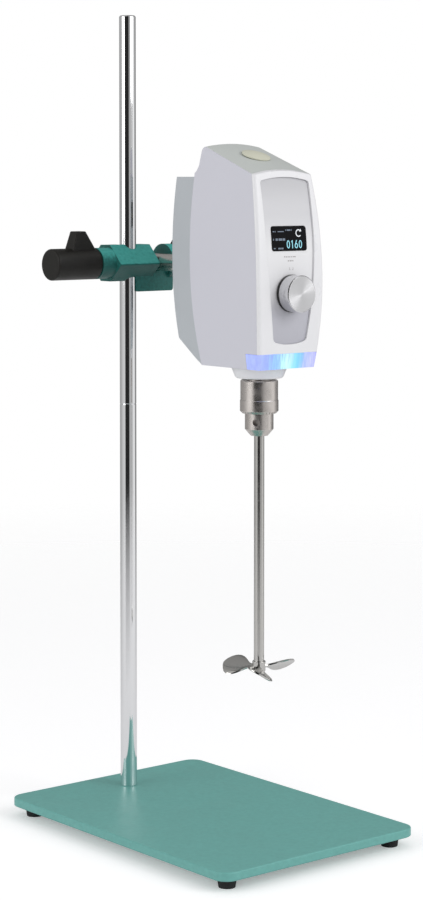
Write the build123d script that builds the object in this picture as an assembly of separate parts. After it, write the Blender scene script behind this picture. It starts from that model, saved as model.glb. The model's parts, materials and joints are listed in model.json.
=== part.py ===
from build123d import *
import math
import os

# Overhead laboratory stirrer on a plate stand. Millimetres, +Z up.
# The origin is on the bench under the middle of the plate, and the control panel faces -Y.
# The column stands near the plate's back edge, and the head hangs in front of it on a
# horizontal support bar that a cross clamp holds on the column.

# ---- driving dimensions: stand -------------------------------------------------------
PLATE_WIDTH = 230.0
PLATE_DEPTH = 325.0
PLATE_THICKNESS = 8.0
PLATE_CORNER_RADIUS = 14.0
PLATE_EDGE_RADIUS = 1.2
FOOT_HEIGHT = 10.0
FOOT_TOP_RADIUS = 9.0
FOOT_BOTTOM_RADIUS = 7.5
FOOT_INSET = 18.0
FOOT_SCREW_SEAT = 5.0
FOOT_SCREW_HEAD = 2.6
FOOT_SCREW_END_GAP = 2.5
FOOT_HOLE_COVER = 2.0
COLUMN_RADIUS = 8.0
COLUMN_FROM_BACK = 40.0
COLUMN_ROD_LENGTH = 375.0
COLUMN_END_CHAMFER = 1.2
COLUMN_JOINT_CHAMFER = 0.5
COLUMN_THREAD_DEPTH = 20.0
COLUMN_BOLT_HEAD = 4.0
COLUMN_BOLT_SINK = 3.5
COLUMN_BOLT_REACH = 18.0
STUD_DOWN = 19.9
STUD_UP = 18.0

# ---- driving dimensions: cross clamp and support bar ---------------------------------
CLAMP_HEIGHT = 530.0
BAR_RADIUS = 8.5
BAR_OFFSET = 32.0
BAR_REAR_OVERHANG = 27.5
JAW_HALF_HEIGHT = 17.5
JAW_NOSE = 22.0
JAW_TOP_FRONT = 4.0
JAW_BACK = 15.0
JAW_CHAMFER = 4.0
JAW_NOSE_DROP = 1.0
JAW_NOSE_RADIUS = 1.5
JAW_SIDE = 24.5
NECK_A_RADIUS = 15.0
NECK_A_LENGTH = 15.5
NECK_B_RADIUS = 17.5
NECK_B_LENGTH = 9.0
NECK_B_FROM_BAR = 2.0
BAR_WEB_DROP = 28.0
BAR_WEB_LEFT = 28.5
BAR_WEB_FRONT = 8.5
BAR_WEB_SETBACK = 2.5
BAR_WEB_RADIUS = 2.5
CLAMP_SCREW_RADIUS = 4.0
CLAMP_KNOB_RADIUS = 15.0
CLAMP_KNOB_LENGTH = 51.0
CLAMP_KNOB_GAP = 0.8
CLAMP_KNOB_END_RADIUS = 1.5
CLAMP_KNOB_CHAMFER = 0.8
CLAMP_SCREW_IN_KNOB = 30.6
WING_HEIGHT = 16.0
WING_THICKNESS = 6.0
WING_ROOT_START = 3.0
WING_ROOT_END = 30.0
WING_CROWN_START = 14.0
WING_CROWN_END = 23.5
WING_ROOT_DEPTH = 4.5
WING_EDGE_RADIUS = 1.0
PAD_LENGTH = 4.0
PAD_STEM_LENGTH = 4.0
PAD_STEM_RADIUS = 2.0
BAR_END_CHAMFER = 1.0

# ---- driving dimensions: head --------------------------------------------------------
SPINDLE_REACH = 158.5
HEAD_BOTTOM = 438.0
HEAD_HALF_WIDTH = 39.7
HEAD_WIDEST_Z = 522.0
SIDE_RADIUS_ABOVE = 940.0
SIDE_RADIUS_BELOW = 620.0
FRONT_OVERHANG = 45.2
FRONT_BULGE_Z = 510.0
FRONT_BULGE_RADIUS = 476.0
TOP_Z_AT_SPINDLE = 630.2
TOP_SLOPE = 19.7
TOP_CROWN_RADIUS = 177.0
CREST_BEHIND_SPINDLE = 40.7
CREST_EDGE_RADIUS = 5.0
CREST_LEAN = 8.0
NECK_BEHIND_CREST = 5.0
NECK_RISE = 11.0
NECK_CURVE_RADIUS = 14.0
SHOULDER_Z = 616.5
PARTING_BEHIND_SPINDLE = 54.1
PARTING_Z = 561.0
PARTING_RADIUS = 680.0
COVER_TOP = 613.0
SIDE_ARC_TOP = 653.0
COVER_ARC_TOP = 643.0
LIGHT_ARC_FOOT = 433.0
COVER_BEHIND_SPINDLE = 86.2
COVER_BACK_Z = 560.0
COVER_BACK_RADIUS = 640.0
COVER_TAPER = 5.0
COVER_RUN_OUT = 10.0
COVER_STEP = 0.6
COVER_EDGE_RADIUS = 3.0
COVER_SCREW_X = 26.0
COVER_SCREW_HEIGHTS = (478.0, 596.0)
COVER_SCREW_SINK = 2.0
COVER_TUBE_GAP = 0.5
SCREW_END_GAP = 0.5
POST_RADIUS = 4.0
POST_RIB = 2.5
POST_RIB_COVER = 0.5
POST_SETBACK = 3.0
POST_BEHIND_FRAME = 2.0
BAR_HOLE_GAP = 1.0
BEVEL_TOP_Z = 463.0
HOUSING_WALL = 2.5
BEZEL_DEPTH = 3.2
FRONT_WALL = 2.2
CORNER_RADIUS = 3.5
SEAM = 0.15

# ---- driving dimensions: control panel -----------------------------------------------
PANEL_TOP_HALF_WIDTH = 29.3
PANEL_BOTTOM_HALF_WIDTH = 19.8
PANEL_TOP = 612.8
PANEL_WAIST_Z = 556.0
PANEL_BOTTOM = 460.4
PANEL_CROWN = 3.5
PANEL_RECESS = 1.8
PANEL_LEDGE = 3.0
PANEL_FOOT_RISE = 3.0
PANEL_SIDE_BULGE = 1.3
PANEL_TOP_CORNER = 3.0
PANEL_FOOT_CORNER = 5.0
DISPLAY_WIDTH = 42.2
DISPLAY_HEIGHT = 22.8
DISPLAY_Z = 557.0
DISPLAY_CORNER_RADIUS = 2.5
DISPLAY_PROUD = 0.5
DISPLAY_GLASS_DEPTH = 2.3
DISPLAY_FRAME_X = 1.0
DISPLAY_FRAME_Z = 1.5
DIAL_Z = 507.0
DIAL_RADIUS = 16.9
DIAL_LENGTH = 13.0
DIAL_SKIRT_RADIUS = 17.2
DIAL_SKIRT_LENGTH = 2.4
DIAL_GAP = 0.8
DIAL_SHAFT_RADIUS = 3.0
DIAL_EDGE_CHAMFER = 0.8
DIAL_SHAFT_IN_DIAL = 11.0
ENCODER_SIZE = 12.0
ENCODER_DEPTH = 5.5
ENCODER_WALL = 2.0
ENCODER_SHAFT_GAP = 0.8
ENCODER_BUSH_WALL = 1.0
ENCODER_BUSH_GAP = 0.5
PANEL_BUSH_GAP = 0.6
LIGHT_BAR_HEIGHT = 14.0
LIGHT_BAR_DEPTH = 7.0
LIGHT_BAR_BEHIND_FRONT = 22.4
LAMP_COUNT = 7
LAMP_SPACING = 7.0
LAMP_SIZE = 3.2
LAMP_DEPTH = 0.8
LAMP_BOARD_WIDTH = 48.0
LAMP_BOARD_THICKNESS = 1.2
LAMP_BOARD_GAP = 1.2
LAMP_BOARD_FLOOR_GAP = 0.5
LAMP_BOARD_TOP_GAP = 1.5
BOARD_THICKNESS = 1.6
BOARD_BEHIND_WALL = 8.0
BOARD_WIDTH = 50.0
BOARD_BOTTOM = 472.0
BOARD_TOP = 600.0
BOARD_SCREW_X = 21.5
BOARD_SCREW_HEIGHTS = (476.0, 596.0)
BOARD_SCREW_HEAD = 1.8
BOARD_SCREW_STOP = 0.6
CONNECTOR_PLACE = (10.0, 22.0, 580.0, 587.0)
PROCESSOR_SIZE = 12.0
PROCESSOR_Z = 530.0
PROCESSOR_HEIGHT = 1.6
CONNECTOR_HEIGHT = 3.9
SUPPLY_WIDTH = 56.0
SUPPLY_BOTTOM = 549.0
SUPPLY_TOP = 590.0
TRANSFORMER_PLACE = (-20.0, -2.0, 556.0, 576.0)
TRANSFORMER_DEPTH = 16.0
CAPACITOR_PLACES = (6.0, 15.0)
CAPACITOR_RADIUS = 4.0
CAPACITOR_DEPTH = 14.0
CAPACITOR_Z = 582.0

# ---- driving dimensions: drive -------------------------------------------------------
SPINDLE_RADIUS = 7.5
SPINDLE_TOP = 612.0
BEARING_RADIUS = 16.0
BEARING_WIDTH = 9.0
LOWER_BEARING_Z = 441.5
UPPER_BEARING_Z = 586.0
BEARING_RACE = 2.6
SHIELD_THICKNESS = 0.8
BEARING_LIP = 3.0
BELT_PITCH = 3.0
SPINDLE_PULLEY_TEETH = 44
MOTOR_PULLEY_TEETH = 16
PULLEY_Z = 455.0
PULLEY_WIDTH = 11.0
BELT_WIDTH = 9.0
BELT_THICKNESS = 1.4
BELT_GAP = 0.3
BELT_TOOTH_HEIGHT = 0.85
BELT_PITCH_DEPTH = 0.4
GAP_END = 0.3
CREST_START = 0.45
CREST_END = 0.85
PULLEY_RIM_RADIUS = 0.6
PULLEY_RIM_GAP = 0.1
PULLEY_HEADROOM = 1.5
MOTOR_BEHIND_SPINDLE = 42.5
MOTOR_RADIUS = 22.0
MOTOR_LENGTH = 42.0
MOTOR_SHAFT_RADIUS = 3.0
MOTOR_SHAFT_IN_CAN = 29.0
MOTOR_SHAFT_BELOW_PULLEY = 1.5
MOTOR_EDGE_CHAMFER = 1.5
MOTOR_PILOT_RADIUS = 7.8
MOTOR_PILOT_HEIGHT = 3.0
MOTOR_PILOT_GAP = 0.2
FRAME_HALF_WIDTH = 31.0
FRAME_WEB = 4.0
FRAME_FLOOR = 11.0
FRAME_BEHIND_SPINDLE = 42.0
FRAME_BEFORE_SPINDLE = 19.0
FRAME_WEB_START = 10.0
SHELF_START = 14.0
BRIDGE_END = 24.0
BRIDGE_LIP = 2.0
BRIDGE_COVER = 1.0
PULLEY_ROOM = 4.5
FRAME_WEB_AT_PULLEY = 4.1
FRAME_SCREW_X = 27.0
FRAME_SCREW_PLACES = (-15.0, 35.0)
FRAME_SCREW_TIP = 9.0
FRAME_SCREW_HOLE = 10.0
SHELF_THICKNESS = 4.0
SOCKET_RADIUS = 14.0
SOCKET_START = 24.0
SOCKET_END = 20.0
SOCKET_FLOOR = 2.5
BAR_END_GAP = 0.5
GRUB_SCREW_BACK = 12.0
CAP_RADIUS = 13.6
CAP_BEHIND_SPINDLE = 5.3
CAP_HEIGHT = 3.6
CAP_DOME = 2.2
CAP_PLUG_RADIUS = 9.5
CAP_PLUG_LENGTH = 5.0
CAP_PLUG_WALL = 1.8
CAP_FLOOR = 0.7

# ---- driving dimensions: chuck and stirring tool -------------------------------------
COLLAR_TOP_RADIUS = 26.4
COLLAR_BOTTOM_RADIUS = 22.6
COLLAR_HEIGHT = 10.8
COLLAR_EDGE = 1.5
COLLAR_WALL = 2.0
COLLAR_FLOOR = 2.5
COLLAR_SPIGOT_HEIGHT = 2.4
COLLAR_SPINDLE_GAP = 1.5
CHUCK_TOP = 425.3
CHUCK_BOTTOM = 373.4
SLEEVE_RADIUS = 17.5
SLEEVE_BAND_RADIUS = 17.9
SLEEVE_BAND_HEIGHT = 12.0
SLEEVE_HEIGHT = 31.0
SLEEVE_TEETH = 30
SLEEVE_TOP_CHAMFER = 1.0
SLEEVE_BOTTOM_CHAMFER = 2.2
SLEEVE_BAND_SLOPE = 0.6
SLEEVE_TOP_WALL = 3.0
SLEEVE_BOTTOM_WALL = 2.0
SLEEVE_WALL = 1.2
SLEEVE_NOTCH_INSET = 1.4
SLEEVE_NOTCH = (3.6, 1.5, 2.6)
CHUCK_BODY_RADIUS = 13.3
CHUCK_NECK_RADIUS = 11.5
CHUCK_NOSE_RADIUS = 8.0
CHUCK_NOSE_HEIGHT = 6.2
CHUCK_BORE_GAP = 1.2
CHUCK_SHOULDER = 2.5
CHUCK_RISE = 0.5
CHUCK_SOCKET_DEPTH = 18.0
CHUCK_KEY_RADIUS = 3.25
CHUCK_KEY_DEPTH = 4.5
CHUCK_KEY_Z = 386.5
JAW_COUNT = 3
JAW_START = 36.7
JAW_RADIUS = 2.5
JAW_ANGLE = 11.0
JAW_TIP_OFFSET = 5.4
JAW_LENGTH = 26.0
JAW_HOLE_LENGTH = 38.0
JAW_HOLE_MIDDLE = 18.0
JAW_TIP_RISE = 0.2
JAW_FOOT_RISE = 0.3
NUT_WIDTH = 7.0
NUT_WALL = 1.2
NUT_GAP = 0.2
SHAFT_RADIUS = 4.8
SHAFT_BOTTOM = 153.5
SHAFT_LENGTH = 356.0
SHAFT_CLEARANCE = 0.4
PROPELLER_RADIUS = 37.5
PROPELLER_HUB_RADIUS = 6.2
PROPELLER_HUB_HEIGHT = 11.0
PROPELLER_Z = 156.8
PROPELLER_BLADES = 3
PROPELLER_TURN = 231.5
BLADE_TILT = 30.0
BLADE_THICKNESS = 1.8
BLADE_LENGTH = 21.0
BLADE_CHORD = 29.0
BLADE_NECK = 5.0
BLADE_ROOT_DEPTH = 1.0
BLADE_NECK_SPREAD = 11.02
HUB_BOTTOM_RADIUS = 2.5
HUB_TOP_CHAMFER = 0.5

# ---- driving dimensions: power inlet and switch --------------------------------------
INLET_Z = 576.0
INLET_FLANGE_WIDTH = 31.0
INLET_FLANGE_HEIGHT = 24.0
INLET_BODY_WIDTH = 27.4
INLET_BODY_HEIGHT = 19.8
INLET_BODY_DEPTH = 17.0
INLET_CAVITY_WIDTH = 24.4
INLET_CAVITY_HEIGHT = 16.4
INLET_CAVITY_DEPTH = 16.0
PIN_LENGTH = 11.0
PIN_WIDTH = 2.0
PIN_HEIGHT = 4.0
PIN_PLACES = ((-7.0, -2.0), (0.0, 2.0), (7.0, -2.0))
INLET_CORNER_CHAMFER = 4.0
INLET_FLANGE_RADIUS = 2.0
SWITCH_Z = 492.0
SWITCH_FLANGE_WIDTH = 15.0
SWITCH_FLANGE_HEIGHT = 21.0
SWITCH_BODY_WIDTH = 13.0
SWITCH_BODY_HEIGHT = 19.2
SWITCH_BODY_DEPTH = 14.0
ROCKER_RADIUS = 8.0
ROCKER_WIDTH = 10.0
ROCKER_TILT = 10.0
ROCKER_PIVOT_DEPTH = 2.2
ROCKER_FACE_RISE = 1.5
ROCKER_BACK = 4.0
FLANGE_THICKNESS = 2.0
FLANGE_ROOT = 0.5
POCKET_MARGIN = 1.5
POCKET_WALL = 1.5
POCKET_FLOOR = 2.5
POCKET_SINK = 0.6

# ---- clearances, and how far a cut runs past what it opens or crosses ----------------
RUNNING = 0.08
FIT = 0.05
SCREW_FIT = 0.1
APART = 0.3
OVER = 1.0
CUT = 15.0
REACH = 60.0

# ---- places that follow from the driving dimensions ----------------------------------
PLATE_BOTTOM = FOOT_HEIGHT
PLATE_TOP = PLATE_BOTTOM + PLATE_THICKNESS
COLUMN_Y = PLATE_DEPTH / 2 - COLUMN_FROM_BACK
COLUMN_JOINT_Z = PLATE_TOP + COLUMN_ROD_LENGTH
HEAD_X = BAR_OFFSET
SPINDLE_Y = COLUMN_Y - SPINDLE_REACH
FRONT_Y = SPINDLE_Y - FRONT_OVERHANG
MOTOR_Y = SPINDLE_Y + MOTOR_BEHIND_SPINDLE
CREST_Y = SPINDLE_Y + CREST_BEHIND_SPINDLE
PARTING_Y = SPINDLE_Y + PARTING_BEHIND_SPINDLE
COVER_Y = SPINDLE_Y + COVER_BEHIND_SPINDLE
LIGHT_BAR_TOP = HEAD_BOTTOM + LIGHT_BAR_HEIGHT
LIGHT_BAR_END_Y = FRONT_Y + LIGHT_BAR_BEHIND_FRONT
FRAME_BOTTOM = HEAD_BOTTOM + HOUSING_WALL
COLLAR_SPIGOT_RADIUS = COLLAR_BOTTOM_RADIUS - COLLAR_WALL - SCREW_FIT
CHUCK_KEY_FLOOR = CHUCK_BODY_RADIUS - CHUCK_KEY_DEPTH
CHUCK_KEY_END = CHUCK_BODY_RADIUS + OVER
SPINDLE_BORE_RADIUS = SHAFT_RADIUS + SHAFT_CLEARANCE
FRAME_BACK_Y = SPINDLE_Y + FRAME_BEHIND_SPINDLE
HOUSING_POST_Y = FRAME_BACK_Y + POST_BEHIND_FRAME
BAR_REAR_Y = COLUMN_Y + BAR_REAR_OVERHANG
SOCKET_FRONT_Y = SPINDLE_Y + SOCKET_START
SOCKET_BACK_Y = COVER_Y - SOCKET_END
JAW_LEFT = -JAW_SIDE
JAW_RIGHT = BAR_OFFSET - BAR_RADIUS - FIT
NECK_B_FACE = BAR_OFFSET + BAR_RADIUS + NECK_B_FROM_BAR
M3 = 1.5
M4 = 2.0
M10 = 5.0
SCREW_HEAD = 1.6
HEAD_M3 = M3 * 1.8
HEAD_M4 = M4 * 1.7
HEAD_FOOT = M4 * 1.9
HEAD_M10 = M10 * 1.65
SINK_M10 = M10 * 1.8


# ---- helpers -------------------------------------------------------------------------
def block(x_low, x_high, y_low, y_high, z_low, z_high):
    """A box given by its six faces."""
    size = (x_high - x_low, y_high - y_low, z_high - z_low)
    middle = ((x_low + x_high) / 2, (y_low + y_high) / 2, (z_low + z_high) / 2)
    return Pos(*middle) * Box(*size)


def rod_x(radius, x_low, x_high, y, z):
    """A cylinder along X."""
    return Pos((x_low + x_high) / 2, y, z) * Rot(0, 90, 0) * Cylinder(radius, x_high - x_low)


def rod_y(radius, y_low, y_high, x, z):
    """A cylinder along Y."""
    return Pos(x, (y_low + y_high) / 2, z) * Rot(90, 0, 0) * Cylinder(radius, y_high - y_low)


def rod_z(radius, z_low, z_high, x, y):
    """A cylinder along Z."""
    return Pos(x, y, (z_low + z_high) / 2) * Cylinder(radius, z_high - z_low)


def turned(points, x, y):
    """A body of revolution about a vertical axis, from an outline of radius and height."""
    outline = make_face(Plane.XZ * Polyline(*points, close=True))
    return Pos(x, y, 0) * revolve(outline, Axis.Z, 360)


def group(pieces):
    """Several separate solids kept together as one node."""
    return Compound([solid for piece in pieces for solid in piece.solids()])


def along_y(sketch, y_low, y_high):
    """An outline drawn in X and Z, made solid between two values of Y."""
    return extrude(Pos(0, y_high, 0) * (Plane.XZ * sketch), y_high - y_low)


def screw_up(shank_radius, head_radius, head_height, x, y, z_head, z_tip):
    """A screw that points up: its head is under z_head, and its tip is at z_tip."""
    head = rod_z(head_radius, z_head - head_height, z_head, x, y)
    head = chamfer(head.edges().group_by(Axis.Z)[0], head_height * 0.25)
    key = extrude(RegularPolygon(shank_radius * 0.9, 6), head_height * 0.55)
    socket = Pos(x, y, z_head - head_height) * key
    return head + rod_z(shank_radius, z_head, z_tip, x, y) - socket


def screw_forward(x, y_seat, z, length):
    """A small round-headed screw that points along -Y, with the top of its head at y_seat."""
    head = rod_y(HEAD_M3, y_seat - SCREW_HEAD, y_seat, x, z)
    head = chamfer(head.edges().group_by(Axis.Y)[-1], SCREW_HEAD * 0.3)
    return head + rod_y(M3, y_seat - length, y_seat - SCREW_HEAD, x, z)


# ---- stand ---------------------------------------------------------------------------
def foot_places():
    """The four corners under the plate where a foot is screwed on."""
    x = PLATE_WIDTH / 2 - FOOT_INSET
    y = PLATE_DEPTH / 2 - FOOT_INSET
    return [(-x, -y), (x, -y), (-x, y), (x, y)]


def base_plate():
    """The steel plate, with tapped holes for the feet and a sunk hole for the column's bolt."""
    outline = RectangleRounded(PLATE_WIDTH, PLATE_DEPTH, PLATE_CORNER_RADIUS)
    plate = Pos(0, 0, PLATE_BOTTOM) * extrude(outline, PLATE_THICKNESS)
    plate = fillet(plate.edges().group_by(Axis.Z)[-1], PLATE_EDGE_RADIUS)
    plate = chamfer(plate.edges().group_by(Axis.Z)[0], PLATE_EDGE_RADIUS * 0.5)
    plate -= rod_z(M10 + SCREW_FIT, PLATE_BOTTOM, PLATE_TOP, 0, COLUMN_Y)
    plate -= rod_z(SINK_M10, PLATE_BOTTOM, PLATE_TOP - COLUMN_BOLT_SINK, 0, COLUMN_Y)
    for x, y in foot_places():
        plate -= rod_z(M4 + SCREW_FIT, PLATE_BOTTOM, PLATE_TOP - FOOT_HOLE_COVER, x, y)
    return plate


def rubber_feet():
    """Four tapered feet, each hollowed underneath for its screw."""
    seat = FOOT_SCREW_SEAT
    hollow = M4 * 2.2
    outline = [
        (M4 + SCREW_FIT, seat),
        (hollow, seat),
        (hollow, 0),
        (FOOT_BOTTOM_RADIUS, 0),
        (FOOT_TOP_RADIUS, FOOT_HEIGHT),
        (M4 + SCREW_FIT, FOOT_HEIGHT),
    ]
    return group([turned(outline, x, y) for x, y in foot_places()])


def foot_screws():
    """One screw up through each foot into the plate."""
    head = FOOT_SCREW_HEAD
    tip = PLATE_TOP - FOOT_SCREW_END_GAP
    places = foot_places()
    return group([screw_up(M4, HEAD_FOOT, head, x, y, FOOT_SCREW_SEAT, tip) for x, y in places])


def column_base_screw():
    """The bolt from under the plate that holds the column."""
    seat = PLATE_TOP - COLUMN_BOLT_SINK
    tip = PLATE_TOP + COLUMN_BOLT_REACH
    return screw_up(M10, HEAD_M10, COLUMN_BOLT_HEAD, 0, COLUMN_Y, seat, tip)


def column_rod(z_low, low_chamfer, high_chamfer, open_top):
    """One polished rod of the column, tapped for the bolt or stud at its ends."""
    z_high = z_low + COLUMN_ROD_LENGTH
    rod = rod_z(COLUMN_RADIUS, z_low, z_high, 0, COLUMN_Y)
    rod = chamfer(rod.edges().group_by(Axis.Z)[0], low_chamfer)
    rod = chamfer(rod.edges().group_by(Axis.Z)[-1], high_chamfer)
    rod -= rod_z(M10 + SCREW_FIT, z_low, z_low + COLUMN_THREAD_DEPTH, 0, COLUMN_Y)
    if open_top:
        rod -= rod_z(M10 + SCREW_FIT, z_high - COLUMN_THREAD_DEPTH, z_high, 0, COLUMN_Y)
    return rod


def column_lower():
    return column_rod(PLATE_TOP, COLUMN_JOINT_CHAMFER, COLUMN_JOINT_CHAMFER, True)


def column_upper():
    return column_rod(COLUMN_JOINT_Z, COLUMN_JOINT_CHAMFER, COLUMN_END_CHAMFER, False)


def column_stud():
    """The threaded stud inside the joint of the two rods."""
    return rod_z(M10, COLUMN_JOINT_Z - STUD_DOWN, COLUMN_JOINT_Z + STUD_UP, 0, COLUMN_Y)


# ---- cross clamp ---------------------------------------------------------------------
def jaw_outline():
    """The nosed profile of the column jaw, in Y and Z about the clamp's screw axis."""
    nose = JAW_NOSE
    half = JAW_HALF_HEIGHT
    front = -JAW_TOP_FRONT
    bevel = JAW_CHAMFER
    points = [(-nose, -JAW_NOSE_DROP), (front, half), (JAW_BACK - bevel, half), (JAW_BACK, half - bevel)]
    lower = [(JAW_BACK, bevel - half), (JAW_BACK - bevel, -half), (front, -half)]
    return make_face(Polyline(*points, *lower, close=True))


def boss_head():
    """The cross clamp: a nosed jaw that opens backwards for the column, and beside it
    a jaw that opens upwards for the bar, each with a neck for its screw."""
    y = COLUMN_Y
    z = CLAMP_HEIGHT
    far = REACH
    nosed = Pos(JAW_LEFT, y, z) * (Plane.YZ * jaw_outline())
    body = extrude(nosed, JAW_RIGHT - JAW_LEFT)
    ridge = body.edges().filter_by(Axis.X).sort_by(Axis.Y)[0]
    body = fillet(ridge, JAW_NOSE_RADIUS)
    body += rod_x(NECK_A_RADIUS, JAW_LEFT - NECK_A_LENGTH, JAW_LEFT + 2 * OVER, y, z)
    body += bar_web()
    body += rod_x(NECK_B_RADIUS, NECK_B_FACE, NECK_B_FACE + NECK_B_LENGTH, y, z)
    slot_radius = COLUMN_RADIUS + FIT
    body -= rod_z(slot_radius, z - far, z + far, 0, y)
    body -= block(-slot_radius, slot_radius, y, y + far, z - far, z + far)
    body -= rod_y(BAR_RADIUS + FIT, y - far, y + far, BAR_OFFSET, z)
    bore = CLAMP_SCREW_RADIUS + RUNNING
    body -= rod_x(bore, JAW_LEFT - NECK_A_LENGTH - OVER, 0, y, z)
    body -= rod_x(bore, BAR_OFFSET, NECK_B_FACE + NECK_B_LENGTH + OVER, y, z)
    return body


def bar_web():
    """The block under the bar that joins the two jaws, cut open above the bar."""
    y = COLUMN_Y
    z = CLAMP_HEIGHT
    right = NECK_B_FACE + NECK_B_LENGTH - BAR_WEB_SETBACK
    left = BAR_OFFSET - BAR_WEB_LEFT
    web = block(left, right, y - BAR_WEB_FRONT, y + JAW_BACK, z - BAR_WEB_DROP, z)
    web = fillet(web.edges().filter_by(Axis.Y).group_by(Axis.Z)[0], BAR_WEB_RADIUS)
    return web - block(JAW_RIGHT, NECK_B_FACE, y - REACH, y + REACH, z - BAR_RADIUS - FIT, z + OVER)


def clamp_places():
    """For each clamp screw: where it presses, the side it comes from, and its knob's start."""
    a_start = JAW_LEFT - NECK_A_LENGTH - CLAMP_KNOB_GAP
    b_start = NECK_B_FACE + NECK_B_LENGTH + CLAMP_KNOB_GAP
    column = (-COLUMN_RADIUS - FIT, -1, a_start)
    bar = (BAR_OFFSET + BAR_RADIUS + FIT, 1, b_start)
    return {"column": column, "bar": bar}


def clamp_rod(radius, start, side, length):
    """A cylinder on the clamp's screw axis that runs outwards from start."""
    ends = sorted((start, start + side * length))
    return rod_x(radius, ends[0], ends[1], COLUMN_Y, CLAMP_HEIGHT)


def clamp_pad(which):
    """The brass pad on a clamp screw's tip, with the stem that it swivels on."""
    face, side, start = clamp_places()[which]
    pad = clamp_rod(CLAMP_SCREW_RADIUS, face, side, PAD_LENGTH)
    return pad + clamp_rod(PAD_STEM_RADIUS, face + side * PAD_LENGTH, side, PAD_STEM_LENGTH)


def clamp_screw(which):
    """The clamp screw, from behind its pad to the middle of its knob."""
    face, side, start = clamp_places()[which]
    back = face + side * (PAD_LENGTH + FIT)
    length = abs(start + side * CLAMP_SCREW_IN_KNOB - back)
    screw = clamp_rod(CLAMP_SCREW_RADIUS, back, side, length)
    hole = PAD_STEM_RADIUS + RUNNING
    return screw - clamp_rod(hole, back, side, PAD_STEM_LENGTH + APART)


def clamp_knob(which):
    """A long round knob with one wing, moulded on its screw."""
    face, side, start = clamp_places()[which]
    knob = clamp_rod(CLAMP_KNOB_RADIUS, start, side, CLAMP_KNOB_LENGTH)
    outer = knob.edges().filter_by(GeomType.CIRCLE).sort_by(Axis.X)[::side][-1]
    knob = fillet(outer, CLAMP_KNOB_END_RADIUS)
    inner = knob.edges().filter_by(GeomType.CIRCLE).sort_by(Axis.X)[::side][0]
    knob = chamfer(inner, CLAMP_KNOB_CHAMFER)
    root = CLAMP_KNOB_RADIUS - WING_ROOT_DEPTH
    tip = CLAMP_KNOB_RADIUS + WING_HEIGHT
    points = [(WING_ROOT_START, root), (WING_ROOT_END, root)]
    points += [(WING_CROWN_END, tip), (WING_CROWN_START, tip)]
    places = [(start + side * along, CLAMP_HEIGHT + up) for along, up in points]
    outline = make_face(Polyline(*places, close=True))
    wing = along_y(outline, COLUMN_Y - WING_THICKNESS / 2, COLUMN_Y + WING_THICKNESS / 2)
    knob += fillet(wing.edges().filter_by(Axis.Y).group_by(Axis.Z)[-1], WING_EDGE_RADIUS)
    return knob - clamp_rod(CLAMP_SCREW_RADIUS + FIT, start, side, CLAMP_SCREW_IN_KNOB + APART)


def support_bar():
    """The round bar from inside the head to just behind the clamp."""
    front = SOCKET_FRONT_Y + SOCKET_FLOOR + BAR_END_GAP
    bar = rod_y(BAR_RADIUS, front, BAR_REAR_Y, BAR_OFFSET, CLAMP_HEIGHT)
    return chamfer(bar.edges().filter_by(GeomType.CIRCLE), BAR_END_CHAMFER)


# ---- head outline --------------------------------------------------------------------
def side_half_width(z, inset):
    """Half the head's width at a height, less the inset of a wall."""
    radius = SIDE_RADIUS_ABOVE if z > HEAD_WIDEST_Z else SIDE_RADIUS_BELOW
    return HEAD_HALF_WIDTH - inset - (z - HEAD_WIDEST_Z) ** 2 / (2 * radius)


def front_outline(inset, floor, ceiling):
    """The head's outline seen from the front: two sides that bulge, in X and Z."""
    low = (floor + HEAD_WIDEST_Z) / 2
    high = (ceiling + HEAD_WIDEST_Z) / 2

    def at(z, side):
        return (HEAD_X + side * side_half_width(z, inset), z)

    lines = Line(at(floor, -1), at(floor, 1))
    lines += ThreePointArc(at(floor, 1), at(low, 1), at(HEAD_WIDEST_Z, 1))
    lines += ThreePointArc(at(HEAD_WIDEST_Z, 1), at(high, 1), at(ceiling, 1))
    lines += Line(at(ceiling, 1), at(ceiling, -1))
    lines += ThreePointArc(at(ceiling, -1), at(high, -1), at(HEAD_WIDEST_Z, -1))
    lines += ThreePointArc(at(HEAD_WIDEST_Z, -1), at(low, -1), at(floor, -1))
    return make_face(lines)


def front_core(depth):
    """Everything behind the bulged front surface moved back by a depth."""
    centre = FRONT_Y + FRONT_BULGE_RADIUS
    return rod_x(FRONT_BULGE_RADIUS - depth, HEAD_X - REACH, HEAD_X + REACH, centre, FRONT_BULGE_Z)


def crown_core(inset):
    """Everything under the sloping, crowned top surface lowered by an inset."""
    drop = TOP_CROWN_RADIUS / math.cos(math.radians(TOP_SLOPE))
    place = Pos(HEAD_X, SPINDLE_Y, TOP_Z_AT_SPINDLE - drop) * Rot(TOP_SLOPE, 0, 0)
    return place * (Rot(90, 0, 0) * Cylinder(TOP_CROWN_RADIUS - inset, 8 * REACH))


def parting_y(z):
    """The seam between housing and rear cover: a long arc that bulges backwards."""
    rise = z - PARTING_Z
    return PARTING_Y - PARTING_RADIUS + math.sqrt(PARTING_RADIUS**2 - rise**2)


def crest_outline(inset):
    """The side outline above the seam: shoulder, hollow neck and crest, in Y and Z."""
    shoulder = (parting_y(SHOULDER_Z) - inset, SHOULDER_Z - inset)
    neck = (CREST_Y + NECK_BEHIND_CREST - inset, SHOULDER_Z + NECK_RISE - inset / 2)
    crest = (neck[0] - CREST_LEAN, COVER_TOP + REACH)
    front = (FRONT_Y - CUT, COVER_TOP + REACH)
    return RadiusArc(shoulder, neck, NECK_CURVE_RADIUS) + Polyline(neck, crest, front)


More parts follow.
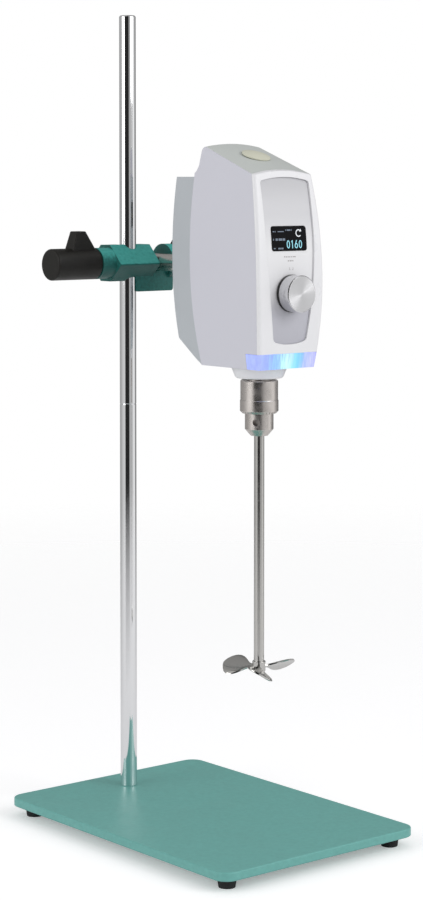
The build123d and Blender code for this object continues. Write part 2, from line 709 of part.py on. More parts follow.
def back_outline(inset):
    """The housing seen from the side, closed behind by its seam, in Y and Z."""
    start = (FRONT_Y - CUT, HEAD_BOTTOM)
    foot = (parting_y(HEAD_BOTTOM) - inset, HEAD_BOTTOM)
    shoulder = (parting_y(SHOULDER_Z) - inset, SHOULDER_Z - inset)
    lines = Line(start, foot)
    lines += ThreePointArc(foot, (PARTING_Y - inset, PARTING_Z), shoulder)
    lines += crest_outline(inset)
    lines += Line((start[0], COVER_TOP + REACH), start)
    return Plane.YZ * make_face(lines)


def mouth_outline(inset):
    """The space inside the housing seen from the side, open behind under the cover's roof."""
    roof = COVER_TOP - inset
    start = (FRONT_Y - CUT, HEAD_BOTTOM)
    shoulder = (parting_y(SHOULDER_Z) - inset, SHOULDER_Z - inset)
    lip = (parting_y(roof) - inset, roof)
    open_y = PARTING_Y + CUT
    lines = Polyline(start, (open_y, HEAD_BOTTOM), (open_y, roof), lip, shoulder)
    lines += crest_outline(inset)
    lines += Line((start[0], COVER_TOP + REACH), start)
    return Plane.YZ * make_face(lines)


def head_form(inset, side_outline):
    """The main housing's whole outer form, or the space inside a wall of that inset."""
    sides = front_outline(inset, HEAD_BOTTOM + inset, SIDE_ARC_TOP)
    form = along_y(sides, FRONT_Y - CUT, PARTING_Y + CUT)
    form &= Pos(HEAD_X - REACH, 0, 0) * extrude(side_outline, 2 * REACH)
    form &= front_core(inset)
    return form & crown_core(inset)


def rounded_head_form():
    """The outer form with its edges rounded."""
    form = head_form(0, back_outline(0))
    middle = form.edges().filter_by(lambda e: abs(e.center().X - HEAD_X) < OVER)
    form = fillet(middle.sort_by(Axis.Z)[-1], CREST_EDGE_RADIUS)
    front = form.edges().filter_by(lambda e: e.center().Y < FRONT_Y + CUT)
    corners = front.filter_by(lambda e: abs(e.center().X - HEAD_X) > HEAD_HALF_WIDTH / 2)
    return fillet(corners, CORNER_RADIUS)


def light_bar_zone(extra):
    """The front corner of the head that the light bar takes up."""
    low_x = HEAD_X - REACH
    high_x = HEAD_X + REACH
    end_y = LIGHT_BAR_END_Y + extra
    top = LIGHT_BAR_TOP + extra
    outer = block(low_x, high_x, FRONT_Y - CUT, end_y, HEAD_BOTTOM - OVER, top)
    depth = LIGHT_BAR_DEPTH + extra
    inner = along_y(front_outline(depth, LIGHT_ARC_FOOT, COVER_TOP), FRONT_Y - CUT, COVER_Y)
    return outer - (inner & front_core(depth))


def panel_outline(margin):
    """The outline of the recessed panel: straight, then drawn in towards its round foot."""
    top = PANEL_TOP_HALF_WIDTH - margin
    foot = PANEL_BOTTOM_HALF_WIDTH - margin
    crown = PANEL_TOP - margin
    toe = PANEL_BOTTOM + margin
    shoulder = crown - PANEL_CROWN
    ankle = toe + PANEL_FOOT_RISE
    middle = ((top + foot) / 2 + PANEL_SIDE_BULGE, (PANEL_WAIST_Z + ankle) / 2)
    lines = ThreePointArc((-top, shoulder), (0, crown), (top, shoulder))
    lines += Line((top, shoulder), (top, PANEL_WAIST_Z))
    lines += ThreePointArc((top, PANEL_WAIST_Z), middle, (foot, ankle))
    lines += ThreePointArc((foot, ankle), (0, toe), (-foot, ankle))
    lines += ThreePointArc((-foot, ankle), (-middle[0], middle[1]), (-top, PANEL_WAIST_Z))
    lines += Line((-top, PANEL_WAIST_Z), (-top, shoulder))
    outline = make_face(lines)
    outline = fillet(outline.vertices().sort_by(Axis.Y)[:2], PANEL_FOOT_CORNER)
    outline = fillet(outline.vertices().sort_by(Axis.Y)[-2:], PANEL_TOP_CORNER)
    return Pos(HEAD_X, 0) * outline


def display_outline(margin):
    """The display's rounded rectangle."""
    width = DISPLAY_WIDTH - 2 * margin
    height = DISPLAY_HEIGHT - 2 * margin
    return Pos(HEAD_X, DISPLAY_Z) * RectangleRounded(width, height, DISPLAY_CORNER_RADIUS)


# ---- head shells ---------------------------------------------------------------------
def cover_screw_places():
    """Where the rear cover's four screws stand, seen from behind."""
    return [(HEAD_X + side * COVER_SCREW_X, z) for side in (-1, 1) for z in COVER_SCREW_HEIGHTS]


def top_plane():
    """The place of the sloping top above the spindle, with +Z square to the slope."""
    return Pos(HEAD_X, SPINDLE_Y, TOP_Z_AT_SPINDLE) * Rot(TOP_SLOPE, 0, 0)


def cap_plane():
    """The place of the cap on the sloping top, a little behind the spindle."""
    return top_plane() * Pos(0, CAP_BEHIND_SPINDLE, 0)


def main_housing():
    """The moulded shell: open behind, with a windowed front wall for the panel."""
    shell = rounded_head_form() & front_core(BEZEL_DEPTH)
    inside = head_form(HOUSING_WALL, mouth_outline(HOUSING_WALL))
    shell -= inside & front_core(BEZEL_DEPTH + FRONT_WALL)
    shell -= along_y(panel_outline(PANEL_LEDGE), FRONT_Y - CUT, SPINDLE_Y)
    shell -= light_bar_zone(SEAM)
    for x, z in cover_screw_places():
        shell += housing_post(x, z)
    low = HEAD_BOTTOM - OVER
    shell -= rod_z(COLLAR_SPIGOT_RADIUS + SCREW_FIT, low, FRAME_BOTTOM + OVER, HEAD_X, SPINDLE_Y)
    for hole in frame_screw_holes():
        shell -= hole
    return shell - cap_plane() * rod_z(CAP_PLUG_RADIUS + RUNNING, -CUT, OVER, 0, 0)


def housing_post(x, z):
    """A screw post with the rib that ties it to the housing's side."""
    side = 1 if x > HEAD_X else -1
    wall = HEAD_X + side * (side_half_width(z, 0) - POST_RIB_COVER)
    ends = sorted((x, wall))
    start = HOUSING_POST_Y
    end = parting_y(z) - POST_SETBACK
    half = POST_RIB / 2
    post = rod_y(POST_RADIUS, start, end, x, z)
    post += block(ends[0], ends[1], start, end, z - half, z + half)
    return post - rod_y(M3 + SCREW_FIT, start - OVER, end + OVER, x, z)


def front_bezel():
    """The white frame round the panel, which is the front skin of the head."""
    frame = rounded_head_form() - front_core(BEZEL_DEPTH)
    low_x = HEAD_X - REACH
    high_x = HEAD_X + REACH
    frame -= block(low_x, high_x, FRONT_Y - CUT, SPINDLE_Y, HEAD_BOTTOM - OVER, LIGHT_BAR_TOP)
    return frame - along_y(panel_outline(0), FRONT_Y - CUT, SPINDLE_Y)


def cover_form(inset):
    """The rear cover's outer form, or the space inside its wall: straight up to the whole
    of the curved seam, then tapered."""
    foot = parting_y(HEAD_BOTTOM) - OVER
    start = parting_y(COVER_TOP) - OVER
    section = front_outline(COVER_STEP + inset, HEAD_BOTTOM + inset, COVER_ARC_TOP)
    back = Pos(0, start, 0) * (Plane.XZ * section)
    form = extrude(back, start - COVER_Y - COVER_RUN_OUT, taper=COVER_TAPER)
    form += along_y(section, foot, start)
    low_x = HEAD_X - REACH
    high_x = HEAD_X + REACH
    centre = COVER_Y - COVER_BACK_RADIUS
    form &= rod_x(COVER_BACK_RADIUS - inset, low_x, high_x, centre, COVER_BACK_Z)
    form &= block(low_x, high_x, foot - OVER, COVER_Y + CUT, HEAD_BOTTOM - OVER, COVER_TOP - inset)
    return form - cover_bevel(inset)


def cover_bevel(inset):
    """What the slanted underside takes off the rear cover."""
    back = cover_back_y(BEVEL_TOP_Z)
    foot = parting_y(HEAD_BOTTOM)
    run = back - foot
    rise = BEVEL_TOP_Z - HEAD_BOTTOM
    shift = inset * math.hypot(run, rise) / run
    past = 2 * CUT
    low = (foot - past, HEAD_BOTTOM - past * rise / run + shift)
    high = (back + past, BEVEL_TOP_Z + past * rise / run + shift)
    under = low[1] - CUT
    outline = make_face(Polyline(low, high, (high[0], under), (low[0], under), close=True))
    return Pos(HEAD_X - REACH, 0, 0) * extrude(Plane.YZ * outline, 2 * REACH)


def rear_cover():
    """The tapered back shell, with the bar's hole, pockets for inlet and switch, and
    tubes for its screws."""
    x = HEAD_X
    outer = cover_form(0)
    back = outer.edges().filter_by(lambda e: e.center().Y > cover_back_y(BEVEL_TOP_Z) - OVER)
    sides = back.filter_by(lambda e: abs(e.center().X - x) > HEAD_HALF_WIDTH / 2)
    outer = fillet(sides, COVER_EDGE_RADIUS)
    shell = outer - cover_form(HOUSING_WALL)
    for z, height, width in fixture_pockets():
        half = width / 2 + POCKET_MARGIN + POCKET_WALL
        tall = height / 2 + POCKET_MARGIN + POCKET_WALL
        floor = pocket_floor(z, height)
        tray = block(x - half, x + half, floor - POCKET_FLOOR, floor + OVER, z - tall, z + tall)
        shell += tray & outer
    for place, z in cover_screw_places():
        front = parting_y(z) - POST_SETBACK + COVER_TUBE_GAP
        shell += rod_y(POST_RADIUS, front, COVER_Y, place, z) & outer
    for z, height, width in fixture_pockets():
        half = width / 2 + POCKET_MARGIN
        tall = height / 2 + POCKET_MARGIN
        floor = pocket_floor(z, height)
        shell -= block(x - half, x + half, floor, COVER_Y + CUT, z - tall, z + tall)
    for z, height, width in fixture_holes():
        half = width / 2 + SCREW_FIT
        tall = height / 2 + SCREW_FIT
        shell -= block(x - half, x + half, SPINDLE_Y, COVER_Y, z - tall, z + tall)
    for place, z in cover_screw_places():
        seat = cover_back_y(z) - COVER_SCREW_SINK - SCREW_HEAD
        shell -= rod_y(M3 + SCREW_FIT, SPINDLE_Y, COVER_Y + CUT, place, z)
        shell -= rod_y(HEAD_M3 + SCREW_FIT, seat, COVER_Y + CUT, place, z)
    shell -= rod_y(BAR_RADIUS + BAR_HOLE_GAP, SPINDLE_Y, COVER_Y + CUT, x, CLAMP_HEIGHT)
    centre = PARTING_Y - PARTING_RADIUS
    return shell - rod_x(PARTING_RADIUS + SEAM, x - REACH, x + REACH, centre, PARTING_Z)


def cover_back_y(z):
    """Where the rear cover's back surface stands at a height."""
    rise = z - COVER_BACK_Z
    return COVER_Y - COVER_BACK_RADIUS + math.sqrt(COVER_BACK_RADIUS**2 - rise**2)


def pocket_floor(z, height):
    """The flat floor of a pocket that is just deep enough over its whole height."""
    tall = height / 2 + POCKET_MARGIN
    return min(cover_back_y(z - tall), cover_back_y(z + tall)) - POCKET_SINK


def fixture_pockets():
    """Height, size of the inlet's and the switch's flange pockets."""
    inlet = (INLET_Z, INLET_FLANGE_HEIGHT, INLET_FLANGE_WIDTH)
    switch = (SWITCH_Z, SWITCH_FLANGE_HEIGHT, SWITCH_FLANGE_WIDTH)
    return [inlet, switch]


def fixture_holes():
    """Height, size of the holes that the inlet's and the switch's bodies pass."""
    inlet = (INLET_Z, INLET_BODY_HEIGHT, INLET_BODY_WIDTH)
    switch = (SWITCH_Z, SWITCH_BODY_HEIGHT, SWITCH_BODY_WIDTH)
    return [inlet, switch]


def cover_screws():
    """The four screws that hold the rear cover on the housing's posts."""
    pieces = []
    for x, z in cover_screw_places():
        seat = cover_back_y(z) - COVER_SCREW_SINK
        pieces.append(screw_forward(x, seat, z, seat - HOUSING_POST_Y - SCREW_END_GAP))
    return group(pieces)


def top_cap():
    """The domed plug that closes the hole above the hollow spindle."""
    dome_radius = (CAP_RADIUS**2 + CAP_DOME**2) / (2 * CAP_DOME)
    rim = rod_z(CAP_RADIUS, APART, CAP_HEIGHT, 0, 0)
    dome = rim & Pos(0, 0, CAP_HEIGHT - dome_radius) * Sphere(dome_radius)
    plug = dome + rod_z(CAP_PLUG_RADIUS, -CAP_PLUG_LENGTH, CAP_FLOOR, 0, 0)
    plug -= rod_z(CAP_PLUG_RADIUS - CAP_PLUG_WALL, -CAP_PLUG_LENGTH - OVER, CAP_FLOOR, 0, 0)
    return cap_plane() * plug


def bottom_collar():
    """The white cone under the head that the spindle comes out of."""
    top = HEAD_BOTTOM
    bottom = HEAD_BOTTOM - COLLAR_HEIGHT
    spigot = COLLAR_SPIGOT_RADIUS
    spigot_top = top + COLLAR_SPIGOT_HEIGHT
    bore = SPINDLE_RADIUS + COLLAR_SPINDLE_GAP
    outline = [
        (bore, bottom),
        (COLLAR_BOTTOM_RADIUS - COLLAR_EDGE, bottom),
        (COLLAR_BOTTOM_RADIUS, bottom + COLLAR_EDGE),
        (COLLAR_TOP_RADIUS, top),
        (spigot, top),
        (spigot, spigot_top),
        (spigot - COLLAR_WALL, spigot_top),
        (spigot - COLLAR_WALL, bottom + COLLAR_FLOOR),
        (bore, bottom + COLLAR_FLOOR),
    ]
    return turned(outline, HEAD_X, SPINDLE_Y)


def light_bar():
    """The clear bar that wraps the head's lower front edge."""
    low_x = HEAD_X - REACH
    high_x = HEAD_X + REACH
    top = LIGHT_BAR_TOP - SEAM
    zone = block(low_x, high_x, FRONT_Y - CUT, LIGHT_BAR_END_Y, HEAD_BOTTOM - OVER, top)
    return rounded_head_form() & light_bar_zone(0) & zone


def light_strip():
    """The narrow board with its row of lamps behind the light bar."""
    low = HEAD_BOTTOM + HOUSING_WALL + LAMP_BOARD_FLOOR_GAP
    high = LIGHT_BAR_TOP - LAMP_BOARD_TOP_GAP
    front = front_y(low, LIGHT_BAR_DEPTH) + LAMP_BOARD_GAP
    back = front + LAMP_BOARD_THICKNESS
    half = LAMP_BOARD_WIDTH / 2
    strip = block(HEAD_X - half, HEAD_X + half, front, back, low, high)
    half = LAMP_SIZE / 2
    z = (low + high) / 2
    for lamp in range(LAMP_COUNT):
        x = HEAD_X + (lamp - (LAMP_COUNT - 1) / 2) * LAMP_SPACING
        strip += block(x - half, x + half, front - LAMP_DEPTH, front, z - half, z + half)
    return strip


# ---- panel pieces --------------------------------------------------------------------
def front_panel():
    """The thin curved panel inside the bezel, with holes for display and dial."""
    sheet = front_core(PANEL_RECESS) - front_core(BEZEL_DEPTH - FIT)
    sheet &= along_y(panel_outline(SEAM), FRONT_Y - CUT, SPINDLE_Y)
    sheet -= along_y(display_outline(0), FRONT_Y - CUT, SPINDLE_Y)
    hole = DIAL_SHAFT_RADIUS + ENCODER_BUSH_WALL + PANEL_BUSH_GAP
    return sheet - rod_y(hole, FRONT_Y - CUT, SPINDLE_Y, HEAD_X, DIAL_Z)


def front_y(z, depth):
    """Where the bulged front surface, moved back by a depth, stands at a height."""
    return FRONT_Y + depth + (z - FRONT_BULGE_Z) ** 2 / (2 * FRONT_BULGE_RADIUS)


def display_window():
    """The dark glass over the display, a little proud of the panel."""
    glass = front_core(PANEL_RECESS - DISPLAY_PROUD) - front_core(PANEL_RECESS + DISPLAY_GLASS_DEPTH)
    return glass & along_y(display_outline(SEAM), FRONT_Y - CUT, SPINDLE_Y)


def display_module():
    """The display's own block behind the glass, seated on the control board."""
    half_x = DISPLAY_WIDTH / 2 + DISPLAY_FRAME_X
    half_z = DISPLAY_HEIGHT / 2 + DISPLAY_FRAME_Z
    glass = PANEL_RECESS + DISPLAY_GLASS_DEPTH
    front = front_y(DISPLAY_Z + DISPLAY_HEIGHT / 2, glass) + APART
    low = DISPLAY_Z - half_z
    high = DISPLAY_Z + half_z
    return block(HEAD_X - half_x, HEAD_X + half_x, front, board_y(), low, high)


def board_y():
    """The control board's front face."""
    return front_y(DIAL_Z, BEZEL_DEPTH + FRONT_WALL) + BOARD_BEHIND_WALL


def board_screw_places():
    """Where the control board is screwed to the front wall."""
    return [(HEAD_X + side * BOARD_SCREW_X, z) for side in (-1, 1) for z in BOARD_SCREW_HEIGHTS]


def control_board():
    """The board behind the panel, with its processor and connector."""
    x = HEAD_X
    y = board_y()
    back = y + BOARD_THICKNESS
    half = BOARD_WIDTH / 2
    board = block(x - half, x + half, y, back, BOARD_BOTTOM, BOARD_TOP)
    half = PROCESSOR_SIZE / 2
    low = PROCESSOR_Z - half
    board += block(x - half, x + half, back, back + PROCESSOR_HEIGHT, low, PROCESSOR_Z + half)
    low_x, high_x, low, high = CONNECTOR_PLACE
    board += block(x + low_x, x + high_x, back, back + CONNECTOR_HEIGHT, low, high)
    for place, z in board_screw_places():
        board -= rod_y(M3 + SCREW_FIT, y - OVER, back + OVER, place, z)
    return board


def board_screws():
    """Four screws and spacers that hold the control board on the front wall."""
    seat = board_y() + BOARD_THICKNESS
    pieces = []
    for x, z in board_screw_places():
        stop = front_y(z, BEZEL_DEPTH + FRONT_WALL) + BOARD_SCREW_STOP
        head = rod_y(HEAD_M3, seat, seat + BOARD_SCREW_HEAD, x, z)
        pieces.append(head + rod_y(M3, stop, seat, x, z))
    return group(pieces)


def encoder_body():
    """The rotary encoder on the board, with the bush that guides its shaft."""
    x = HEAD_X
    z = DIAL_Z
    y = board_y()
    half = ENCODER_SIZE / 2
    body = block(x - half, x + half, y - ENCODER_DEPTH, y, z - half, z + half)
    front = dial_back() + ENCODER_BUSH_GAP
    body += rod_y(DIAL_SHAFT_RADIUS + ENCODER_BUSH_WALL, front, y - ENCODER_WALL, x, z)
    return body - rod_y(DIAL_SHAFT_RADIUS + RUNNING, dial_back(), y - ENCODER_WALL, x, z)


def dial_back():
    """The plane of the dial's skirt, just off the panel."""
    return front_y(DIAL_Z, PANEL_RECESS) - DIAL_GAP


def encoder_shaft():
    """The encoder's shaft, from inside its body to inside the dial."""
    front = dial_back() - DIAL_SHAFT_IN_DIAL
    back = board_y() - ENCODER_WALL - ENCODER_SHAFT_GAP
    return rod_y(DIAL_SHAFT_RADIUS, front, back, HEAD_X, DIAL_Z)


def dial_knob():
    """The turned aluminium dial."""
    back = dial_back() - DIAL_SKIRT_LENGTH
    dial = rod_y(DIAL_RADIUS, back - DIAL_LENGTH, back, HEAD_X, DIAL_Z)
    dial = chamfer(dial.edges().group_by(Axis.Y)[0], DIAL_EDGE_CHAMFER)
    hole_end = dial_back() - DIAL_SHAFT_IN_DIAL
    return dial - rod_y(DIAL_SHAFT_RADIUS + FIT, hole_end, back + OVER, HEAD_X, DIAL_Z)


def dial_skirt():
    """The black ring between the dial and the panel, which turns with the dial."""
    back = dial_back()
    front = back - DIAL_SKIRT_LENGTH
    ring = rod_y(DIAL_SKIRT_RADIUS, front, back, HEAD_X, DIAL_Z)
    hole = DIAL_SHAFT_RADIUS + ENCODER_BUSH_WALL + APART
    return ring - rod_y(hole, front - OVER, back + OVER, HEAD_X, DIAL_Z)


# ---- frame, bearings, motor and belt -------------------------------------------------
def drive_frame():
    """The cast frame inside the head: bearing floor, side webs, motor shelf, bar socket
    and upper bearing bridge in one piece."""
    x = HEAD_X
    left = x - FRAME_HALF_WIDTH
    right = x + FRAME_HALF_WIDTH
    front = SPINDLE_Y - FRAME_BEFORE_SPINDLE
    back = FRAME_BACK_Y
    floor_top = FRAME_BOTTOM + FRAME_FLOOR
    shelf = shelf_bottom()
    bridge_low = UPPER_BEARING_Z - BRIDGE_LIP
    bridge_high = UPPER_BEARING_Z + BEARING_WIDTH + BRIDGE_COVER
    frame = block(left, right, front, back, FRAME_BOTTOM, floor_top)
    web_start = SPINDLE_Y + FRAME_WEB_START
    frame += block(left, left + FRAME_WEB, web_start, back, FRAME_BOTTOM, bridge_high)
    frame += block(right - FRAME_WEB, right, web_start, back, FRAME_BOTTOM, bridge_high)
    frame += block(left, right, SPINDLE_Y + SHELF_START, back, shelf, shelf + SHELF_THICKNESS)
    frame += block(left, right, front, SPINDLE_Y + BRIDGE_END, bridge_low, bridge_high)
    low = CLAMP_HEIGHT - SOCKET_RADIUS
    high = CLAMP_HEIGHT + SOCKET_RADIUS
    frame += block(left, right, SOCKET_FRONT_Y, SOCKET_BACK_Y, low, high)
    end = SOCKET_FRONT_Y + SOCKET_FLOOR
    frame -= rod_y(BAR_RADIUS + RUNNING, end, SOCKET_BACK_Y + OVER, x, CLAMP_HEIGHT)
    for seat, top in ((LOWER_BEARING_Z, floor_top), (UPPER_BEARING_Z, bridge_high)):
        frame -= rod_z(BEARING_RADIUS + FIT, seat, top + OVER, x, SPINDLE_Y)
        frame -= rod_z(BEARING_RADIUS - BEARING_LIP, seat - CUT, top + OVER, x, SPINDLE_Y)
    frame -= pulley_room(floor_top, shelf)
    pilot = MOTOR_PILOT_RADIUS + MOTOR_PILOT_GAP
    frame -= rod_z(pilot, shelf - OVER, shelf + SHELF_THICKNESS + OVER, x, MOTOR_Y)
    for hole in frame_screw_holes():
        frame -= hole
    grub_y = SOCKET_BACK_Y - GRUB_SCREW_BACK
    return frame - rod_x(M3 + SCREW_FIT, x, x + REACH, grub_y, CLAMP_HEIGHT)


def pulley_room(low, shelf):
    """The round room that the large pulley and its belt turn in."""
    radius = pulley_radius(SPINDLE_PULLEY_TEETH) + PULLEY_ROOM
    half = FRAME_HALF_WIDTH - FRAME_WEB_AT_PULLEY
    front = SPINDLE_Y - FRAME_BEFORE_SPINDLE
    room = rod_z(radius, low, shelf + CUT, HEAD_X, SPINDLE_Y)
    return room & block(HEAD_X - half, HEAD_X + half, front, SPINDLE_Y + REACH, low, shelf + CUT)


def frame_screw_places():
    """Where the frame is screwed to the housing's floor, clear of the collar."""
    places = [(side * FRAME_SCREW_X, along) for side in (-1, 1) for along in FRAME_SCREW_PLACES]
    return [(HEAD_X + across, SPINDLE_Y + along) for across, along in places]


def frame_screws():
    """Screws up through the housing's floor into the frame."""
    tip = HEAD_BOTTOM + FRAME_SCREW_TIP
    seat = HEAD_BOTTOM + SCREW_HEAD
    places = frame_screw_places()
    return group([screw_up(M4, HEAD_M4, SCREW_HEAD, x, y, seat, tip) for x, y in places])


def frame_screw_holes():
    """The stepped holes that those screws take, with their heads sunk in the housing's floor."""
    low = HEAD_BOTTOM - OVER
    holes = []
    for x, y in frame_screw_places():
        hole = rod_z(M4 + SCREW_FIT, low, HEAD_BOTTOM + FRAME_SCREW_HOLE, x, y)
        holes.append(hole + rod_z(HEAD_M4 + SCREW_FIT, low, HEAD_BOTTOM + SCREW_HEAD, x, y))
    return holes


def bearing(z, inner):
    """One race of a shielded ball bearing; the outer race carries the shields."""
    top = z + BEARING_WIDTH
    rim = SPINDLE_RADIUS + BEARING_RACE
    if inner:
        ring = rod_z(rim, z, top, HEAD_X, SPINDLE_Y)
        return ring - rod_z(SPINDLE_RADIUS + FIT, z - OVER, top + OVER, HEAD_X, SPINDLE_Y)
    ring = rod_z(BEARING_RADIUS, z, top, HEAD_X, SPINDLE_Y)
    low = z + SHIELD_THICKNESS
    high = top - SHIELD_THICKNESS
    ring -= rod_z(BEARING_RADIUS - BEARING_RACE, low, high, HEAD_X, SPINDLE_Y)
    return ring - rod_z(rim + RUNNING, z - OVER, top + OVER, HEAD_X, SPINDLE_Y)


def bearing_outer_races():
    return group([bearing(z, False) for z in (LOWER_BEARING_Z, UPPER_BEARING_Z)])


def bearing_inner_races():
    return group([bearing(z, True) for z in (LOWER_BEARING_Z, UPPER_BEARING_Z)])


def spindle():
    """The hollow spindle, from inside the chuck to just under the top cap."""
    low = spindle_bottom()
    tube = rod_z(SPINDLE_RADIUS, low, SPINDLE_TOP, HEAD_X, SPINDLE_Y)
    return tube - rod_z(SPINDLE_BORE_RADIUS, low - OVER, SPINDLE_TOP + OVER, HEAD_X, SPINDLE_Y)


def spindle_bottom():
    """The spindle's lower end, which stops on a shoulder in the chuck."""
    return CHUCK_TOP - CHUCK_SOCKET_DEPTH


def pulley_radius(teeth):
    """A toothed pulley's pitch radius."""
    return teeth * BELT_PITCH / (2 * math.pi)


def tooth_outline(teeth):
    """The outline of a toothed wheel with straight-sided teeth."""
    crest = pulley_radius(teeth) - BELT_PITCH_DEPTH
    root = crest - BELT_TOOTH_HEIGHT
    points = []
    for tooth in range(teeth):
        for share, radius in ((0, root), (GAP_END, root), (CREST_START, crest), (CREST_END, crest)):
            angle = 2 * math.pi * (tooth + share) / teeth
            points.append((radius * math.cos(angle), radius * math.sin(angle)))
    return make_face(Polyline(*points, close=True))


def pulley(teeth, bore, x, y):
    """A toothed pulley with two thin rims."""
    rim_height = (PULLEY_WIDTH - BELT_WIDTH) / 2 - PULLEY_RIM_GAP
    wheel = Pos(0, 0, rim_height) * extrude(tooth_outline(teeth), PULLEY_WIDTH - 2 * rim_height)
    rim = pulley_radius(teeth) + PULLEY_RIM_RADIUS
    for low in (0, PULLEY_WIDTH - rim_height):
        wheel += rod_z(rim, low, low + rim_height, 0, 0)
    wheel -= rod_z(bore + FIT, -OVER, PULLEY_WIDTH + OVER, 0, 0)
    return Pos(x, y, PULLEY_Z) * wheel


def spindle_pulley():
    return pulley(SPINDLE_PULLEY_TEETH, SPINDLE_RADIUS, HEAD_X, SPINDLE_Y)


def motor_pulley():
    return pulley(MOTOR_PULLEY_TEETH, MOTOR_SHAFT_RADIUS, HEAD_X, MOTOR_Y)


def belt_loop(extra):
    """The area inside a belt that runs a given distance outside both pulleys."""
    large = pulley_radius(SPINDLE_PULLEY_TEETH) + extra
    small = pulley_radius(MOTOR_PULLEY_TEETH) + extra
    lean = math.asin((large - small) / MOTOR_BEHIND_SPINDLE)
    corners = []
    for radius, y in ((large, 0), (small, MOTOR_BEHIND_SPINDLE)):
        corners.append((radius * math.cos(lean), y + radius * math.sin(lean)))
    first, second = corners
    flanks = [first, second, (-second[0], second[1]), (-first[0], first[1])]
    loop = make_face(Polyline(*flanks, close=True))
    loop += Circle(large)
    return loop + Pos(0, MOTOR_BEHIND_SPINDLE) * Circle(small)


def drive_belt():
    """The toothed belt round both pulleys, plain on the inside where the teeth are hidden."""
    ring = belt_loop(BELT_GAP + BELT_THICKNESS) - belt_loop(BELT_GAP)
    low = PULLEY_Z + (PULLEY_WIDTH - BELT_WIDTH) / 2
    return Pos(HEAD_X, SPINDLE_Y, low) * extrude(ring, BELT_WIDTH)


def shelf_bottom():
    """The underside of the motor's shelf, just above the pulleys."""
    return PULLEY_Z + PULLEY_WIDTH + PULLEY_HEADROOM


def motor_floor():
    """The top of the motor's shelf, which the can stands on."""
    return shelf_bottom() + SHELF_THICKNESS


def motor_body():
    """The brushless motor's can, with its pilot boss in the shelf."""
    low = motor_floor()
    can = rod_z(MOTOR_RADIUS, low, low + MOTOR_LENGTH, HEAD_X, MOTOR_Y)
    can = chamfer(can.edges().filter_by(GeomType.CIRCLE), MOTOR_EDGE_CHAMFER)
    pilot = low - MOTOR_PILOT_HEIGHT
    can += rod_z(MOTOR_PILOT_RADIUS, pilot, low + OVER, HEAD_X, MOTOR_Y)
    bore_top = low + MOTOR_SHAFT_IN_CAN + OVER
    return can - rod_z(MOTOR_SHAFT_RADIUS + RUNNING, pilot - OVER, bore_top, HEAD_X, MOTOR_Y)


def motor_shaft():
    low = PULLEY_Z - MOTOR_SHAFT_BELOW_PULLEY
    return rod_z(MOTOR_SHAFT_RADIUS, low, motor_floor() + MOTOR_SHAFT_IN_CAN, HEAD_X, MOTOR_Y)


def power_board():
    """The supply board on the back edges of the frame's webs, with its transformer and
    two capacitors."""
    y = FRAME_BACK_Y
    half = SUPPLY_WIDTH / 2
    board = block(HEAD_X - half, HEAD_X + half, y, y + BOARD_THICKNESS, SUPPLY_BOTTOM, SUPPLY_TOP)
    low_x, high_x, low, high = TRANSFORMER_PLACE
    board += block(HEAD_X + low_x, HEAD_X + high_x, y - TRANSFORMER_DEPTH, y, low, high)
    for x in CAPACITOR_PLACES:
        board += rod_y(CAPACITOR_RADIUS, y - CAPACITOR_DEPTH, y, HEAD_X + x, CAPACITOR_Z)
    return board


# ---- power inlet and switch ----------------------------------------------------------
def power_inlet():
    """The three-pin appliance inlet in the rear cover."""
    x = HEAD_X
    z = INLET_Z
    seat = pocket_floor(INLET_Z, INLET_FLANGE_HEIGHT)
    face = seat + FLANGE_THICKNESS
    half = INLET_FLANGE_WIDTH / 2
    tall = INLET_FLANGE_HEIGHT / 2
    body = block(x - half, x + half, seat, face, z - tall, z + tall)
    body = fillet(body.edges().filter_by(Axis.Y), INLET_FLANGE_RADIUS)
    half = INLET_BODY_WIDTH / 2
    tall = INLET_BODY_HEIGHT / 2
    back = seat - INLET_BODY_DEPTH
    body += block(x - half, x + half, back, seat + FLANGE_ROOT, z - tall, z + tall)
    half = INLET_CAVITY_WIDTH / 2
    tall = INLET_CAVITY_HEIGHT / 2
    floor = face - INLET_CAVITY_DEPTH
    cavity = block(x - half, x + half, floor, face + OVER, z - tall, z + tall)
    upper = cavity.edges().filter_by(Axis.Y).group_by(Axis.Z)[-1]
    return body - chamfer(upper, INLET_CORNER_CHAMFER)


def inlet_pins():
    """The inlet's three blades."""
    floor = pocket_floor(INLET_Z, INLET_FLANGE_HEIGHT) + FLANGE_THICKNESS - INLET_CAVITY_DEPTH
    pins = []
    for across, up in PIN_PLACES:
        x = HEAD_X + across - PIN_WIDTH / 2
        z = INLET_Z + up - PIN_HEIGHT / 2
        pins.append(block(x, x + PIN_WIDTH, floor, floor + PIN_LENGTH, z, z + PIN_HEIGHT))
    return group(pins)


def switch_body():
    """The switch's frame and box in the rear cover."""
    x = HEAD_X
    z = SWITCH_Z
    seat = pocket_floor(SWITCH_Z, SWITCH_FLANGE_HEIGHT)
    face = seat + FLANGE_THICKNESS
    half = SWITCH_FLANGE_WIDTH / 2
    tall = SWITCH_FLANGE_HEIGHT / 2
    body = block(x - half, x + half, seat, face, z - tall, z + tall)
    half = SWITCH_BODY_WIDTH / 2
    tall = SWITCH_BODY_HEIGHT / 2
    back = seat - SWITCH_BODY_DEPTH
    body += block(x - half, x + half, back, seat + FLANGE_ROOT, z - tall, z + tall)
    hollow = ROCKER_RADIUS + APART
    deep = rocker_y() - ROCKER_RADIUS - APART
    wide = ROCKER_WIDTH / 2 + APART
    return body - block(x - wide, x + wide, deep, face + OVER, z - hollow, z + hollow)


def rocker_y():
    """The rocker's pivot line."""
    face = pocket_floor(SWITCH_Z, SWITCH_FLANGE_HEIGHT) + FLANGE_THICKNESS
    return face - ROCKER_PIVOT_DEPTH


